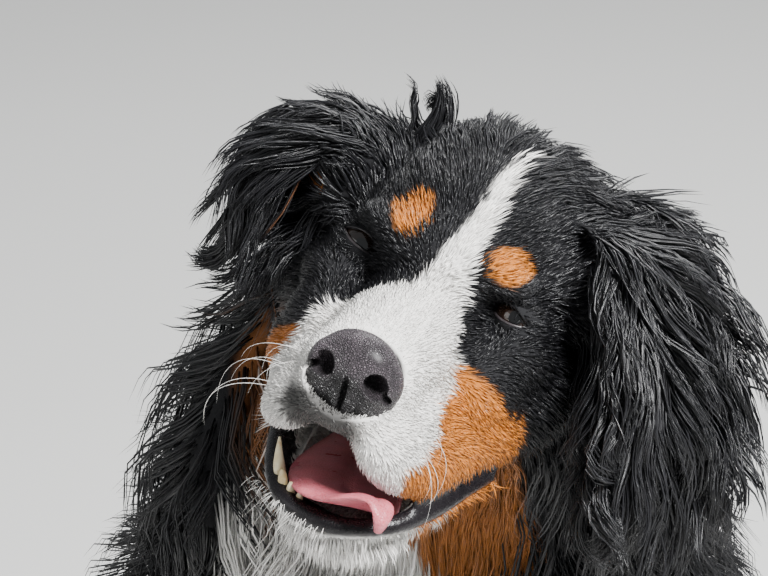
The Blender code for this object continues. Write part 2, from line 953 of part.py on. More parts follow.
def ear(name, side):
    """An ear leaf that folds down from the side of the skull and is bowed round the cheek."""
    if side > 0:
        rows = [
            (46, 66, 58, 26, 9),
            (78, 64, 53, 43, 7),
            (105, 60, 28, 53, 6),
            (118, 56, -6, 55, 6),
            (122, 52, -40, 46, 6),
            (116, 48, -74, 24, 5),
        ]
    else:
        rows = [
            (-46, 62, 54, 24, 9),
            (-76, 60, 48, 35, 6),
            (-101, 58, 24, 39, 6),
            (-113, 56, -6, 38, 6),
            (-116, 54, -38, 32, 5),
            (-113, 52, -64, 18, 4),
        ]
    leaf = loft(rows, side=(side * 0.74, 0.67, 0), around=14, steps=2, bow=0.16, frame=HEAD_MATRIX)
    leaf.name = name
    return leaf


def cut_body(body):
    """Parts the whole body into its named nodes."""
    nodes = {}
    neck_at = head_point(0, 118, -22)
    neck_way = head_way(0, 0.75, -0.66)
    rest = body
    nodes["trunk"] = split_off(rest, "trunk", grown_half_space(neck_at, neck_way))
    nodes["head"] = rest
    nodes["neck"] = split_off(
        nodes["trunk"], "neck", grown_half_space((0, -0.02, 0.545), (0, -0.35, 0.94))
    )
    trunk = nodes.pop("trunk")
    tail = split_off(trunk, "tail_plume", grown_half_space((0, 0.500, 0.06), (0, 1, 0)))
    nodes["tail_root"] = split_off(
        tail, "tail_root", grown_half_space((-0.050, 0.575, 0.04), (0.62, -0.78, 0))
    )
    nodes["tail_plume"] = tail
    for name, side in (("left", 1), ("right", -1)):

        def block(low, high, side=side):
            xs = sorted((side * low[0], side * high[0]))
            return grown_box((xs[0], low[1], low[2]), (xs[1], high[1], high[2]))

        nodes["forepaw_" + name] = split_off(
            trunk, "forepaw_" + name, block((0.02, -0.30, -0.02), (0.25, -0.01, 0.066))
        )
        nodes["foreleg_" + name] = split_off(
            trunk, "foreleg_" + name, block((0.040, -0.30, -0.02), (0.25, 0.062, 0.318))
        )
        nodes["hindpaw_" + name] = split_off(
            trunk, "hindpaw_" + name, block((0.095, -0.02, -0.02), (0.30, 0.205, 0.068))
        )
        nodes["hindleg_" + name] = split_off(
            trunk, "hindleg_" + name, block((0.102, 0.062, -0.02), (0.30, 0.47, 0.350))
        )
    nodes["rump"] = split_off(trunk, "rump", grown_half_space((0, 0.150, 0.300), (0, 0.72, -0.69)))
    nodes["chest"] = trunk
    return nodes


def downwards(back):
    """A lay that runs down the body and back by that share."""

    def lay(spot, normal):
        side = Vector((normal.x, 0, 0)) * 0.25
        return Vector((0, back, -1)) + side

    return lay


def head_coat(head, surface):
    """Locks of the cheeks and of the back of the skull."""
    coat = Coat(head, 1, surface)

    def where(spot, normal):
        at = in_head(spot)
        outward = HEAD_MATRIX.to_3x3().inverted() @ normal
        behind_cheek = at.y > 34 and at.z < -18 and abs(outward.x) > 12 * MM
        return behind_cheek and at.z > -96

    def lay(spot, normal):
        side = 1 if in_head(spot).x > 0 else -1
        return head_way(side * 0.4, 0.75, -1.0)

    coat.lay(10, where, lay, 0.070, 0.044, 0.012, sink=0.006)
    return coat.fuse()


def ear_coat(leaf, side):
    """Long wavy locks that hang over the ear leaf and past its rim."""
    coat = Coat(leaf, 41 + side)

    def where(spot, normal):
        at = in_head(spot)
        outward = HEAD_MATRIX.to_3x3().inverted() @ normal
        return outward.x * side > -0.2 * MM and abs(at.x) > 62 and at.z > -78

    def lay(spot, normal):
        return head_way(side * 0.55, 0.12, -1.0)

    coat.lay(10, where, lay, 0.070, 0.034, 0.012, sink=0.004, wave=0.25)
    return coat.fuse()


def neck_coat(neck, surface):
    """The ruff: broad locks down the neck."""
    coat = Coat(neck, 6, surface)

    def where(spot, normal):
        at = in_head(spot)
        clear_of_head = at.y * 0.75 - at.z * 0.66 > 118 * 0.75 + 22 * 0.66 + 12
        above_chest = 0.35 * (spot.y + 0.02) - 0.94 * (spot.z - 0.545) < -0.030
        return clear_of_head and above_chest and normal.z > -0.75

    def lay(spot, normal):
        return Vector((normal.x * 0.3, 0.10 + max(normal.y, 0) * 0.9, -1))

    coat.lay(36, where, lay, 0.135, 0.084, 0.026, rings=4)
    return coat.fuse()


def chest_coat(chest, surface):
    """Broad locks down the chest, the shoulders and the front of the back."""
    coat = Coat(chest, 7, surface)

    def where(spot, normal):
        under_neck = 0.35 * (spot.y + 0.02) - 0.94 * (spot.z - 0.545) < 0.048
        near_leg = abs(spot.x) > 0.06 and spot.z < 0.40 and spot.y > 0.03
        near_foreleg = abs(spot.x) > 0.03 and spot.z < 0.36
        above_rump = 0.72 * (spot.y - 0.15) - 0.69 * (spot.z - 0.30) < -0.045
        return not (under_neck or near_leg or near_foreleg) and above_rump

    coat.lay(30, where, downwards(0.45), 0.140, 0.096, 0.024)
    return coat.fuse()


def rump_coat(rump, surface):
    """Broad locks down the loins and the rump."""
    coat = Coat(rump, 9, surface)

    def where(spot, normal):
        legs = abs(spot.x) > 0.070 and spot.z < 0.37 and spot.y < 0.47
        below_chest = 0.72 * (spot.y - 0.15) - 0.69 * (spot.z - 0.30) > 0.055
        return below_chest and not legs and spot.z > 0.12 and normal.y > -0.2

    coat.lay(14, where, downwards(0.6), 0.125, 0.094, 0.020)
    return coat.fuse()


def tail_coat(tail, surface, count, seed):
    """The plume of the tail, swept out along it."""
    coat = Coat(tail, seed, surface)
    points = [Vector(p[:3]) for p in smooth_path(TAIL_PATH, 6)]

    def lay(spot, normal):
        k = min(range(len(points)), key=lambda i: (points[i] - spot).length)
        ahead = points[min(k + 1, len(points) - 1)] - points[max(k - 1, 0)]
        return ahead.normalized() + Vector((normal.x, normal.y, 0)) * 0.5

    def where(spot, normal):
        past_seam = Vector((-0.62, 0.78, 0)).dot(spot - Vector((-0.050, 0.575, 0.04)))
        near_seam = -0.025 < past_seam < 0.030
        return spot.y > 0.512 and not near_seam and abs(normal.y) < 0.9 and normal.z > -0.35

    coat.lay(count, where, lay, 0.110, 0.050, 0.012)
    return coat.fuse()


def foreleg_coat(leg, surface, seed):
    """The feathering behind a foreleg."""
    coat = Coat(leg, seed, surface)

    def where(spot, normal):
        return normal.y > 0.25 and 0.09 < spot.z < 0.28

    def lay(spot, normal):
        return Vector((0, 0.55, -1))

    coat.lay(5, where, lay, 0.080, 0.042, 0.018)
    return coat.fuse()


def hindleg_coat(leg, surface, seed):
    """The coat of a thigh."""
    coat = Coat(leg, seed, surface)

    def where(spot, normal):
        outside = abs(normal.x) > 0.35 and normal.x * spot.x > 0
        return outside and 0.085 < spot.z < 0.29 and spot.y > 0.12

    coat.lay(9, where, downwards(0.9), 0.115, 0.078, 0.014)
    return coat.fuse()


TRIANGLES = {
    "head": 1280,
    "neck": 420,
    "chest": 480,
    "rump": 460,
    "tail": 150,
    "foreleg": 220,
    "forepaw": 300,
    "hindleg": 360,
    "hindpaw": 320,
}


# The kind of surface of each node, by the first word of its name where not given in full.
SURFACES = {
    "head": "coat_black",
    "nose": "nose_leather",
    "lower_jaw": "coat_white",
    "tongue": "tongue_flesh",
    "eye": "eye",
    "ear": "coat_black",
    "neck": "coat_black",
    "chest": "coat_black",
    "rump": "coat_black",
    "tail": "coat_black",
    "foreleg": "coat_tan",
    "forepaw": "coat_white",
    "hindleg": "coat_black",
    "hindpaw": "coat_white",
}


def main():
    """Builds the nodes, gives each its coat, and puts the box of them all over the origin."""
    clear_scene()
    nodes = cut_body(whole_body())
    for name, node in nodes.items():
        node.name = name
        reduced(node, TRIANGLES[name.split("_")[0]])
        if min(v.co.z for v in node.data.vertices) < 0.002:
            cut_at_floor(node)
    surface = surface_of(*nodes.values())
    head_coat(nodes["head"], surface)
    fuse_pieces(nodes["head"], crown_and_ear_roots(), 0.80)
    for name, side in (("left", 1), ("right", -1)):
        eyelids(nodes["head"], side)
        nodes["eye_" + name] = eyeball("eye_" + name, side)
        nodes["ear_" + name] = ear("ear_" + name, side)
    nodes["nose"] = nose_leather()
    nodes["lower_jaw"] = lower_jaw()
    nodes["tongue"] = tongue()
    nodes["tongue"].name = "tongue"
    clear_of(nodes["lower_jaw"], nodes["tongue"])

    for name, side in (("left", 1), ("right", -1)):
        for kind, x, y in (("forepaw_", 0.091, -0.120), ("hindpaw_", 0.160, 0.125)):
            fuse_pieces(nodes[kind + name], claws(side * x, y, 0.026))

    tail_coat(nodes["tail_plume"], surface, 12, 31)
    tail_coat(nodes["tail_root"], surface, 6, 10)
    clear_of(nodes["tail_root"], nodes["tail_plume"])
    for k, name in enumerate(("left", "right")):
        foreleg_coat(nodes["foreleg_" + name], surface, 20 + k)
        hindleg_coat(nodes["hindleg_" + name], surface, 22 + k)
        clear_of(nodes["foreleg_" + name], nodes["forepaw_" + name])
        clear_of(nodes["hindleg_" + name], nodes["hindpaw_" + name])
    legs = [nodes[k + n] for k in ("foreleg_", "hindleg_", "hindpaw_") for n in ("left", "right")]
    rump_coat(nodes["rump"], surface)
    clear_of(nodes["rump"], nodes["tail_root"], *legs)
    chest_coat(nodes["chest"], surface)
    clear_of(nodes["chest"], nodes["rump"], *legs)
    neck_coat(nodes["neck"], surface)
    clear_of(nodes["neck"], nodes["chest"], nodes["lower_jaw"])
    clear_of(nodes["head"], nodes["nose"], nodes["tongue"], nodes["lower_jaw"], nodes["neck"])
    for name, side in (("left", 1), ("right", -1)):
        ear_coat(nodes["ear_" + name], side)
        clear_of(nodes["ear_" + name], nodes["head"], nodes["neck"])

    for node in nodes.values():
        if min(v.co.z for v in node.data.vertices) < -1e-6:
            cut_at_floor(node)
        spread(welded(node, 0.000015))

    low = Vector((9, 9, 9))
    high = -low
    for node in nodes.values():
        for vert in node.data.vertices:
            low = Vector(map(min, low, vert.co))
            high = Vector(map(max, high, vert.co))
    shift = Vector((-(low.x + high.x) / 2, -(low.y + high.y) / 2, -low.z))
    for name, node in nodes.items():
        node.data.transform(Matrix.Translation(shift))
        finish(node, SURFACES.get(name) or SURFACES[name.split("_")[0]])

    total = 0
    for name, node in nodes.items():
        node.data.calc_loop_triangles()
        count = len(node.data.loop_triangles)
        total += count
        print("NODE", name, count)
    print("TOTAL", total, [round(v, 4) for v in low], [round(v, 4) for v in high])


main()
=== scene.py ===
"""A Bernese mountain dog that sits with its head tilted: skin, coat, face, paws and floor.

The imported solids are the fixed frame. One skin takes the place of their flesh, shrunk by the
depth of the coat, and the coat grows out of it as solid tufts and locks. The head is laid out
in millimetres in a frame of its own: the origin lies midway between the eyes, x points to the
dog's left, -y forwards and z up. The body is laid out in metres.
"""

import json
import logging
import math
from dataclasses import dataclass, field
from enum import Enum
from typing import Any, Callable, Optional, Sequence

import bmesh
import bpy
import numpy as np
from mathutils import Matrix, Vector
from mathutils.bvhtree import BVHTree
from mathutils.kdtree import KDTree

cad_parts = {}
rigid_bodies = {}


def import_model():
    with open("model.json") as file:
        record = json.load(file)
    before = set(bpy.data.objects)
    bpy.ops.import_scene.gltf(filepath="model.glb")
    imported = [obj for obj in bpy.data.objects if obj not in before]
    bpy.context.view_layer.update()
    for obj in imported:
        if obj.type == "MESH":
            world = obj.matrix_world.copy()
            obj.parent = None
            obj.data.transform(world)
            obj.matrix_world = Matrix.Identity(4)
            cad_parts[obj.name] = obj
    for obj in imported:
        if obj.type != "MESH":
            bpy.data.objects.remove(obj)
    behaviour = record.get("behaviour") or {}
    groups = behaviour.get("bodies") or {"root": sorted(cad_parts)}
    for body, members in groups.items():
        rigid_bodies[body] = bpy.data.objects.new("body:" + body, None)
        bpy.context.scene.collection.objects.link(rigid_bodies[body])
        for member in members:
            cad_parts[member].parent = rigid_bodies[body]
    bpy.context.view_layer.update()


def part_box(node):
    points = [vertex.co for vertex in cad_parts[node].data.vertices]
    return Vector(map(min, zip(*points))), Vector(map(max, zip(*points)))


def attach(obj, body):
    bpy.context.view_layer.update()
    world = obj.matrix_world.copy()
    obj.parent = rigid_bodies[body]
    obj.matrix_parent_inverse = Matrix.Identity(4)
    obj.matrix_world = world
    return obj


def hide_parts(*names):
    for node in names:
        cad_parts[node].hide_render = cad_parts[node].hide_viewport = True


LOG = logging.getLogger("dog")
Array = np.ndarray
Rows = Sequence[Sequence[float]]


def unit(vectors: Array) -> Array:
    """Vectors of length one."""
    return vectors / np.maximum(np.linalg.norm(vectors, axis=-1, keepdims=True), 1e-9)


def ease(low: float, high: float, values: Array) -> Array:
    """A smooth step from 0 at low to 1 at high."""
    t = np.clip((values - low) / (high - low), 0.0, 1.0)
    return t * t * (3.0 - 2.0 * t)


def ripple(points: Array, size: float, seed: int) -> Array:
    """Smooth noise between -1 and 1.

    Args:
        points: Places, one row each.
        size: The width of its waves, in the unit of points.
        seed: Another seed gives another pattern.

    Returns:
        One value for each place.
    """
    rng = np.random.default_rng(seed)
    total = np.zeros(len(points))
    for _ in range(7):
        way = unit(rng.normal(size=3)) * rng.uniform(0.6, 1.5) * 2 * math.pi / size
        total += np.sin(points @ way + rng.uniform(0, 2 * math.pi))
    return total / 3.5


def away(points: Array, centre: Any, radii: Any = 1.0) -> Array:
    """How far places lie from a middle, in radii."""
    return np.linalg.norm((points - centre) / radii, axis=1)


def along_path(points: Array, path: Array) -> tuple[Array, Array, Array]:
    """Finds the nearest place on a path.

    Args:
        points: Places, one row each.
        path: The samples of the path, one row each.

    Returns:
        The nearest sample of each place, the path's direction there and its share of
        the path's length.
    """
    nearest = np.empty(len(points), int)
    for start in range(0, len(points), 20000):
        part = points[start : start + 20000]
        gaps = ((part[:, None, :] - path[None, :, :]) ** 2).sum(axis=2)
        nearest[start : start + 20000] = gaps.argmin(axis=1)
    ways = unit(np.gradient(path, axis=0))
    return path[nearest], ways[nearest], nearest / (len(path) - 1)


def smooth_rows(rows: Rows, steps: int) -> Array:
    """Samples of a smooth curve through rows of numbers.

    Args:
        rows: The rows that the curve passes.
        steps: The number of samples from one row to the next.

    Returns:
        The samples, one row each.
    """
    given = np.array(rows, float)
    given = np.vstack([2 * given[0] - given[1], given, 2 * given[-1] - given[-2]])
    out = []
    for i in range(1, len(given) - 2):
        a, b, c, d = given[i - 1 : i + 3]
        for t in np.arange(steps) / steps:
            out.append(
                b + 0.5 * t * (c - a) + 0.5 * t * t * (2 * a - 5 * b + 4 * c - d)
                + 0.5 * t**3 * (3 * b - a - 3 * c + d)
            )
    out.append(given[-2])
    return np.array(out)


@dataclass(frozen=True)
class HeadFrame:
    """The head's own frame in millimetres, and the shift of the body's metres."""

    matrix: Matrix
    shift: Vector

    @classmethod
    def of_solids(cls) -> "HeadFrame":
        """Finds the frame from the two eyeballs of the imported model."""
        turn = (
            Matrix.Rotation(math.radians(-3.0), 4, "Z")
            @ Matrix.Rotation(math.radians(-13.9), 4, "X")
            @ Matrix.Rotation(math.radians(18.4), 4, "Y") @ Matrix.Scale(0.001, 4)
        )
        corners = [Vector(c) for n in ("eye_left", "eye_right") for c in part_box(n)]
        middle = sum(corners, Vector()) / 4
        origin = middle - turn @ Vector((0, 11, -1))
        return cls(Matrix.Translation(origin) @ turn, origin - Vector((0.055, -0.220, 0.800)))

    def out(self, points: Array) -> Array:
        """Places of the head's frame, in metres."""
        grid = np.array(self.matrix)
        return np.asarray(points, float) @ grid[:3, :3].T + grid[:3, 3]

    def into(self, points: Array) -> Array:
        """Places in metres, in the head's frame."""
        grid = np.array(self.matrix.inverted())
        return np.asarray(points, float) @ grid[:3, :3].T + grid[:3, 3]

    def turned(self, ways: Array) -> Array:
        """Directions of the head's frame, as unit vectors of the model."""
        return unit(np.asarray(ways, float) @ np.array(self.matrix)[:3, :3].T)

    def body(self, points: Array) -> Array:
        """Places of the model, in the frame in which the body is laid out."""
        return np.asarray(points, float) - np.array(self.shift)


class Bench:
    """Modelling steps that several pieces share."""

    @staticmethod
    def add(name: str, data: Any) -> bpy.types.Object:
        """Puts a new object with that data into the scene."""
        obj = bpy.data.objects.new(name, data)
        bpy.context.scene.collection.objects.link(obj)
        return obj

    @staticmethod
    def points(obj: bpy.types.Object) -> Array:
        """The points of a mesh, one row each."""
        out = np.empty(len(obj.data.vertices) * 3)
        obj.data.vertices.foreach_get("co", out)
        return out.reshape(-1, 3)

    @staticmethod
    def normals(obj: bpy.types.Object) -> Array:
        """The normals at the points of a mesh, one row each."""
        out = np.empty(len(obj.data.vertices) * 3)
        obj.data.vertex_normals.foreach_get("vector", out)
        return out.reshape(-1, 3)

    @staticmethod
    def tint(mesh: bpy.types.Mesh, name: str, colors: Array) -> None:
        """Stores a colour for each point of a mesh."""
        layer = mesh.attributes.new(name, "FLOAT_COLOR", "POINT")
        layer.data.foreach_set("color", np.column_stack([colors, np.ones(len(colors))]).ravel())

    @staticmethod
    def deselect() -> None:
        """Leaves nothing selected."""
        bpy.ops.object.select_all(action="DESELECT")

    @staticmethod
    def pick(obj: bpy.types.Object) -> bpy.types.Object:
        """Selects one object alone and makes it active."""
        Bench.deselect()
        obj.select_set(True)
        bpy.context.view_layer.objects.active = obj
        return obj

    @staticmethod
    def made(name: str, points: Array, faces: list) -> bpy.types.Object:
        """Makes an object of points and faces, with its faces turned outwards."""
        mesh = bpy.data.meshes.new(name)
        mesh.from_pydata([tuple(p) for p in points], [], faces)
        return Bench.outward(Bench.add(name, mesh))

    @staticmethod
    def outward(obj: bpy.types.Object) -> bpy.types.Object:
        """Turns the faces of a closed mesh outwards."""
        shape = bmesh.new()
        shape.from_mesh(obj.data)
        bmesh.ops.recalc_face_normals(shape, faces=shape.faces)
        shape.to_mesh(obj.data)
        shape.free()
        return obj

    @staticmethod
    def joined(name: str, parts: list) -> bpy.types.Object:
        """Joins objects into one."""
        Bench.deselect()
        for part in parts:
            part.select_set(True)
        bpy.context.view_layer.objects.active = parts[0]
        if len(parts) > 1:
            bpy.ops.object.join()
        parts[0].name = name
        return parts[0]

    @staticmethod
    def apply(obj: bpy.types.Object, kind: str, **settings: Any) -> bpy.types.Object:
        """Adds one modifier and applies it.

        Args:
            obj: The object that it changes.
            kind: The type of the modifier.
            settings: Its settings.

        Returns:
            The changed object.
        """
        Bench.pick(obj)
        modifier = obj.modifiers.new("step", kind)
        for key, value in settings.items():
            setattr(modifier, key, value)
        bpy.ops.object.modifier_apply(modifier=modifier.name)
        return obj

    @staticmethod
    def fused(name: str, parts: list, voxel: float, smoothing: int) -> bpy.types.Object:
        """Fuses overlapping closed parts into one smooth skin.

        Args:
            name: The new object's name.
            parts: The parts, which it uses up.
            voxel: The size of the remesh, in metres.
            smoothing: The number of smoothing passes.

        Returns:
            The new object.
        """
        whole = Bench.joined(name, parts)
        Bench.apply(whole, "REMESH", mode="VOXEL", voxel_size=voxel)
        if smoothing:
            Bench.apply(whole, "SMOOTH", factor=0.5, iterations=smoothing)
        return whole

    @staticmethod
    def cut(obj: bpy.types.Object, other: bpy.types.Object, how: str = "DIFFERENCE") -> None:
        """Cuts one closed mesh with another, and removes the cutter."""
        Bench.apply(obj, "BOOLEAN", object=other, operation=how, solver="MANIFOLD")
        bpy.data.objects.remove(other)

    @staticmethod
    def finish(obj: bpy.types.Object, material: bpy.types.Material, slot: str) -> bpy.types.Object:
        """Shades a piece smooth, gives it its finish and lets it ride."""
        Bench.pick(obj)
        bpy.ops.object.shade_smooth()
        obj.data.materials.clear()
        obj.data.materials.append(material)
        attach(obj, "root")
        return obj


@dataclass(frozen=True)
class Ball:
    """An ellipsoid of flesh: its middle, its radii and its turn in degrees."""

    centre: tuple[float, float, float]
    radii: tuple[float, float, float]
    turn: tuple[float, float, float] = (0, 0, 0)
    paired: bool = False

    def build(self, frame: Matrix) -> list:
        """The ellipsoid, and its mirror image where it is paired."""
        out = []
        for side in (1, -1) if self.paired else (1,):
            bpy.ops.mesh.primitive_uv_sphere_add(segments=24, ring_count=14, radius=1)
            ball = bpy.context.active_object
            x, y, z = self.centre
            place = (
                Matrix.Translation((side * x, y, z))
                @ Matrix.Rotation(math.radians(side * self.turn[2]), 4, "Z")
                @ Matrix.Rotation(math.radians(side * self.turn[1]), 4, "Y")
                @ Matrix.Rotation(math.radians(self.turn[0]), 4, "X")
                @ Matrix.Diagonal((*self.radii, 1.0))
            )
            ball.data.transform(frame @ place)
            out.append(ball)
        return out


@dataclass(frozen=True)
class Tube:
    """A round tube through stations of x, y, z, half width and half height.

    side is the direction of the width at its first station, and bow bends each
    cross-section into a trough, as a share of its half width.
    """

    stations: Rows
    side: tuple[float, float, float] = (1, 0, 0)
    bow: float = 0.0
    paired: bool = False
    around: int = 24
    steps: int = 4
    domed: bool = True

    def rings(self) -> list:
        """The cross-sections: middle, width, height and way along, half sizes."""
        rows = smooth_rows(self.stations, self.steps)
        ways = unit(np.gradient(rows[:, :3], axis=0))
        across = np.array(self.side, float)
        out = []
        for row, way in zip(rows, ways):
            across = unit(across - way * across.dot(way))
            out.append((row[:3], across, np.cross(across, way), way, row[3], row[4]))
        if not self.domed:
            return out
        ends = []
        for ring, sign in ((out[0], -1), (out[-1], 1)):
            centre, wide, up, way, w, h = ring
            reach = sign * min(w, h)
            cap = []
            for angle in (0.45, 0.85, 1.2):
                spot, small = centre + way * reach * math.sin(angle), math.cos(angle)
                cap.append((spot, wide, up, way, w * small, h * small))
            ends.append(cap)
        return ends[0][::-1] + out + ends[1]

    def build(self, frame: Matrix, name: str = "tube") -> list:
        """The tube, and its mirror image where it is paired."""
        angles = np.arange(self.around) * 2 * math.pi / self.around
        u, v = np.cos(angles), np.sin(angles)
        points = []
        for centre, wide, up, _, w, h in self.rings():
            drop = (h * v - self.bow * w * u * u)[:, None]
            points.append(centre + wide * (w * u)[:, None] + up * drop)
        count = len(points)
        n = self.around
        faces = [
            (r * n + k, r * n + (k + 1) % n, (r + 1) * n + (k + 1) % n, (r + 1) * n + k)
            for r in range(count - 1) for k in range(n)
        ]
        faces += [tuple(range(n))[::-1], tuple(range((count - 1) * n, count * n))]
        grid = np.array(frame)
        out = []
        for side in (1, -1) if self.paired else (1,):
            local = np.vstack(points) * np.array([side, 1, 1])
            out.append(Bench.made(name, local @ grid[:3, :3].T + grid[:3, 3], faces))
        return out


@dataclass
class Flesh:
    """The forms of the whole animal under its coat, and the skin that joins them."""

    fine: float = 0.0027
    coarse: float = 0.0080
    neck_cut: tuple[float, float, float] = (0, 112, -26)
    neck_way: tuple[float, float, float] = (0, 0.75, -0.66)
    lip_droop: float = 6.0
    skull: tuple = (
        Ball((0, 66, 10), (66, 84, 60)), Ball((0, 22, 12), (50, 44, 38)),
        Ball((0, 70, -58), (52, 56, 44)), Ball((29, 4, 20), (23, 22, 15), (0, 12, 0), paired=True),
        Ball((50, 20, -20), (24, 34, 24), paired=True),
        Ball((52, 50, -40), (30, 48, 46), paired=True),
        Ball((54, 14, -60), (20, 34, 26), paired=True),
        Ball((42, 2, -42), (26, 34, 30), paired=True), Ball((0, 54, 30), (54, 60, 49)),
        Ball((71, 50, 22), (19, 25, 33), paired=True),
        Ball((44, 11, -1), (20, 17, 17), paired=True),
        Ball((33, -46, -50), (12, 20, 12), paired=True), Ball((-54, 64, 48), (16, 18, 12)),
        Ball((-80, 92, -26), (28, 30, 46)),
        Tube((
            (-88, 100, -45, 20, 26), (-96, 106, -80, 24, 30), (-104, 114, -115, 26, 34),
            (-104, 120, -155, 28, 36), (-94, 126, -195, 30, 38),
        )),
        Tube((
            (0, 20, -20, 36, 30), (0, -14, -26, 34, 30), (0, -45, -36, 33, 29),
            (0, -74, -42, 32, 28), (1, -86, -45, 29, 25),
        )),
    )
    jaw: tuple = (
        Tube((
            (2, 45, -98, 44, 22), (4, 15, -103, 44, 20), (7, -20, -109, 42, 17),
            (10, -48, -117, 34, 14), (10, -64, -121, 25, 12),
        )),
        Tube(
            (
                (62, 8, -80, 8, 10), (58, -18, -86, 7, 8), (52, -44, -96, 7, 7.5),
                (40, -66, -106, 7, 7.5), (22, -76, -113, 7, 7.5), (4, -77, -115, 7, 7.5),
                (-13, -71, -114, 7, 7.5), (-28, -52, -108, 7, 7.5), (-40, -22, -98, 7, 8),
                (-49, 8, -86, 8, 10),
            ),
            side=(0, 1, 0),
        ),
    )
    trough: Tube = Tube((
        (4, 44, -76, 30, 16), (6, 0, -88, 32, 16), (10, -36, -98, 30, 14), (12, -58, -104, 22, 10),
    ))
    ears: tuple = (
        Tube(
            (
                (46, 66, 57, 26, 9), (74, 64, 46, 40, 7), (98, 60, 15, 49, 6),
                (116, 56, -18, 54, 6), (123, 52, -46, 47, 6), (118, 48, -76, 25, 5),
            ),
            side=(0.74, 0.67, 0), bow=0.16,
        ),
        Tube(
            (
                (-46, 62, 48, 26, 9), (-80, 60, 45, 37, 6), (-108, 58, 32, 39, 6),
                (-121, 55, 8, 37, 6), (-123, 53, -15, 29, 5), (-118, 51, -33, 17, 4),
            ),
            side=(-0.74, 0.67, 0), bow=0.16,
        ),
    )
    neck: Tube = Tube((
        (0.056, -0.112, 0.765, 0.082, 0.082), (0.048, -0.088, 0.715, 0.098, 0.092),
        (0.028, -0.048, 0.645, 0.124, 0.114), (0.010, -0.010, 0.575, 0.144, 0.138),
        (0.0, 0.015, 0.505, 0.152, 0.148),
    ))
    tail: tuple = (
        (0, 0.420, 0.110, 0.048, 0.045), (0, 0.475, 0.078, 0.040, 0.037),
        (-0.018, 0.535, 0.050, 0.035, 0.031), (-0.062, 0.592, 0.036, 0.034, 0.028),
        (-0.128, 0.638, 0.033, 0.034, 0.026), (-0.205, 0.664, 0.032, 0.030, 0.024),
        (-0.275, 0.672, 0.028, 0.020, 0.018),
    )
    trunk: tuple = (
        Tube((
            (0, -0.045, 0.520, 0.130, 0.120), (0, 0.020, 0.460, 0.152, 0.165),
            (0, 0.120, 0.380, 0.154, 0.172), (0, 0.220, 0.295, 0.150, 0.165),
            (0, 0.310, 0.215, 0.152, 0.156), (0, 0.380, 0.150, 0.134, 0.128),
            (0, 0.415, 0.110, 0.108, 0.102),
        )),
        Ball((0, 0.030, 0.570), (0.080, 0.085, 0.075)),
        Ball((0, -0.105, 0.470), (0.118, 0.080, 0.125)),
        Ball((0, -0.070, 0.375), (0.085, 0.080, 0.085)),
        Ball((0, 0.400, 0.085), (0.125, 0.085, 0.095)),
        Ball((0.108, -0.020, 0.455), (0.064, 0.095, 0.145), (-8, 0, 0), paired=True),
    )
    legs: tuple = (
        Tube(
            (
                (0.098, -0.005, 0.420, 0.050, 0.070), (0.096, -0.010, 0.340, 0.043, 0.058),
                (0.090, -0.040, 0.250, 0.036, 0.042), (0.087, -0.060, 0.160, 0.032, 0.034),
                (0.087, -0.070, 0.100, 0.033, 0.034), (0.089, -0.085, 0.050, 0.036, 0.036),
            ),
            paired=True,
        ),
        Ball((0.091, -0.112, 0.027), (0.042, 0.052, 0.034), paired=True),
        Ball((0.128, 0.265, 0.205), (0.070, 0.138, 0.132), (20, 0, 6), paired=True),
        Ball((0.142, 0.150, 0.205), (0.048, 0.070, 0.070), paired=True),
        Tube(
            (
                (0.150, 0.135, 0.165, 0.046, 0.050), (0.152, 0.240, 0.100, 0.040, 0.044),
                (0.150, 0.330, 0.062, 0.030, 0.036),
            ),
            paired=True,
        ),
        Tube(
            (
                (0.150, 0.350, 0.040, 0.028, 0.032), (0.153, 0.260, 0.034, 0.031, 0.030),
                (0.158, 0.180, 0.034, 0.034, 0.030),
            ),
            paired=True,
        ),
        Ball((0.160, 0.135, 0.027), (0.041, 0.055, 0.033), paired=True),
    )
    paws: tuple = ((0.091, -0.120, 0.026), (0.160, 0.125, 0.026))
    toes: tuple = ((-0.030, 0.026), (-0.0105, 0.042), (0.0105, 0.042), (0.030, 0.026))
    toe: tuple[float, float, float] = (0.0135, 0.026, 0.022)
    toe_drop: float = 0.006
    toe_splay: float = -600

    def lips(self) -> list:
        """The two upper lips, which hang a little to the low side of the tilted head."""
        out = []
        for side, droop in ((1, self.lip_droop), (-1, 0.0)):
            low = 0.4 * droop
            out.append(
                Tube((
                    (side * 12 + 2, -86, -54, 13, 13),
                    (side * 24 + droop / 2, -76, -62 - low, 16, 21 + low),
                    (side * 31 + droop, -55, -66 - low, 14, 22 + low),
                    (side * 40 + droop, -30, -66 - low / 2, 13, 19 + low / 2),
                    (side * 52 + droop / 2, -6, -64, 12, 14),
                ))
            )
        return out

    def toe_balls(self) -> list:
        """The toes of the four paws."""
        out = []
        for x, y, z in self.paws:
            for across, ahead in self.toes:
                place = (x + across, y - ahead, z - self.toe_drop)
                out.append(Ball(place, self.toe, (0, 0, self.toe_splay * across), paired=True))
        return out

    def half_space(self, head: HeadFrame, shift: float, sign: int) -> bpy.types.Object:
        """A large block on one side of the cut behind the head."""
        way = Vector(head.turned(np.array([self.neck_way]))[0])
        spot = Vector(head.out(np.array([self.neck_cut]))[0])
        bpy.ops.mesh.primitive_cube_add(size=4.0)
        block = bpy.context.active_object
        turn = way.to_track_quat("Z", "Y").to_matrix().to_4x4()
        block.data.transform(Matrix.Translation(spot + way * (sign * 2.0 + shift)) @ turn)
        return block

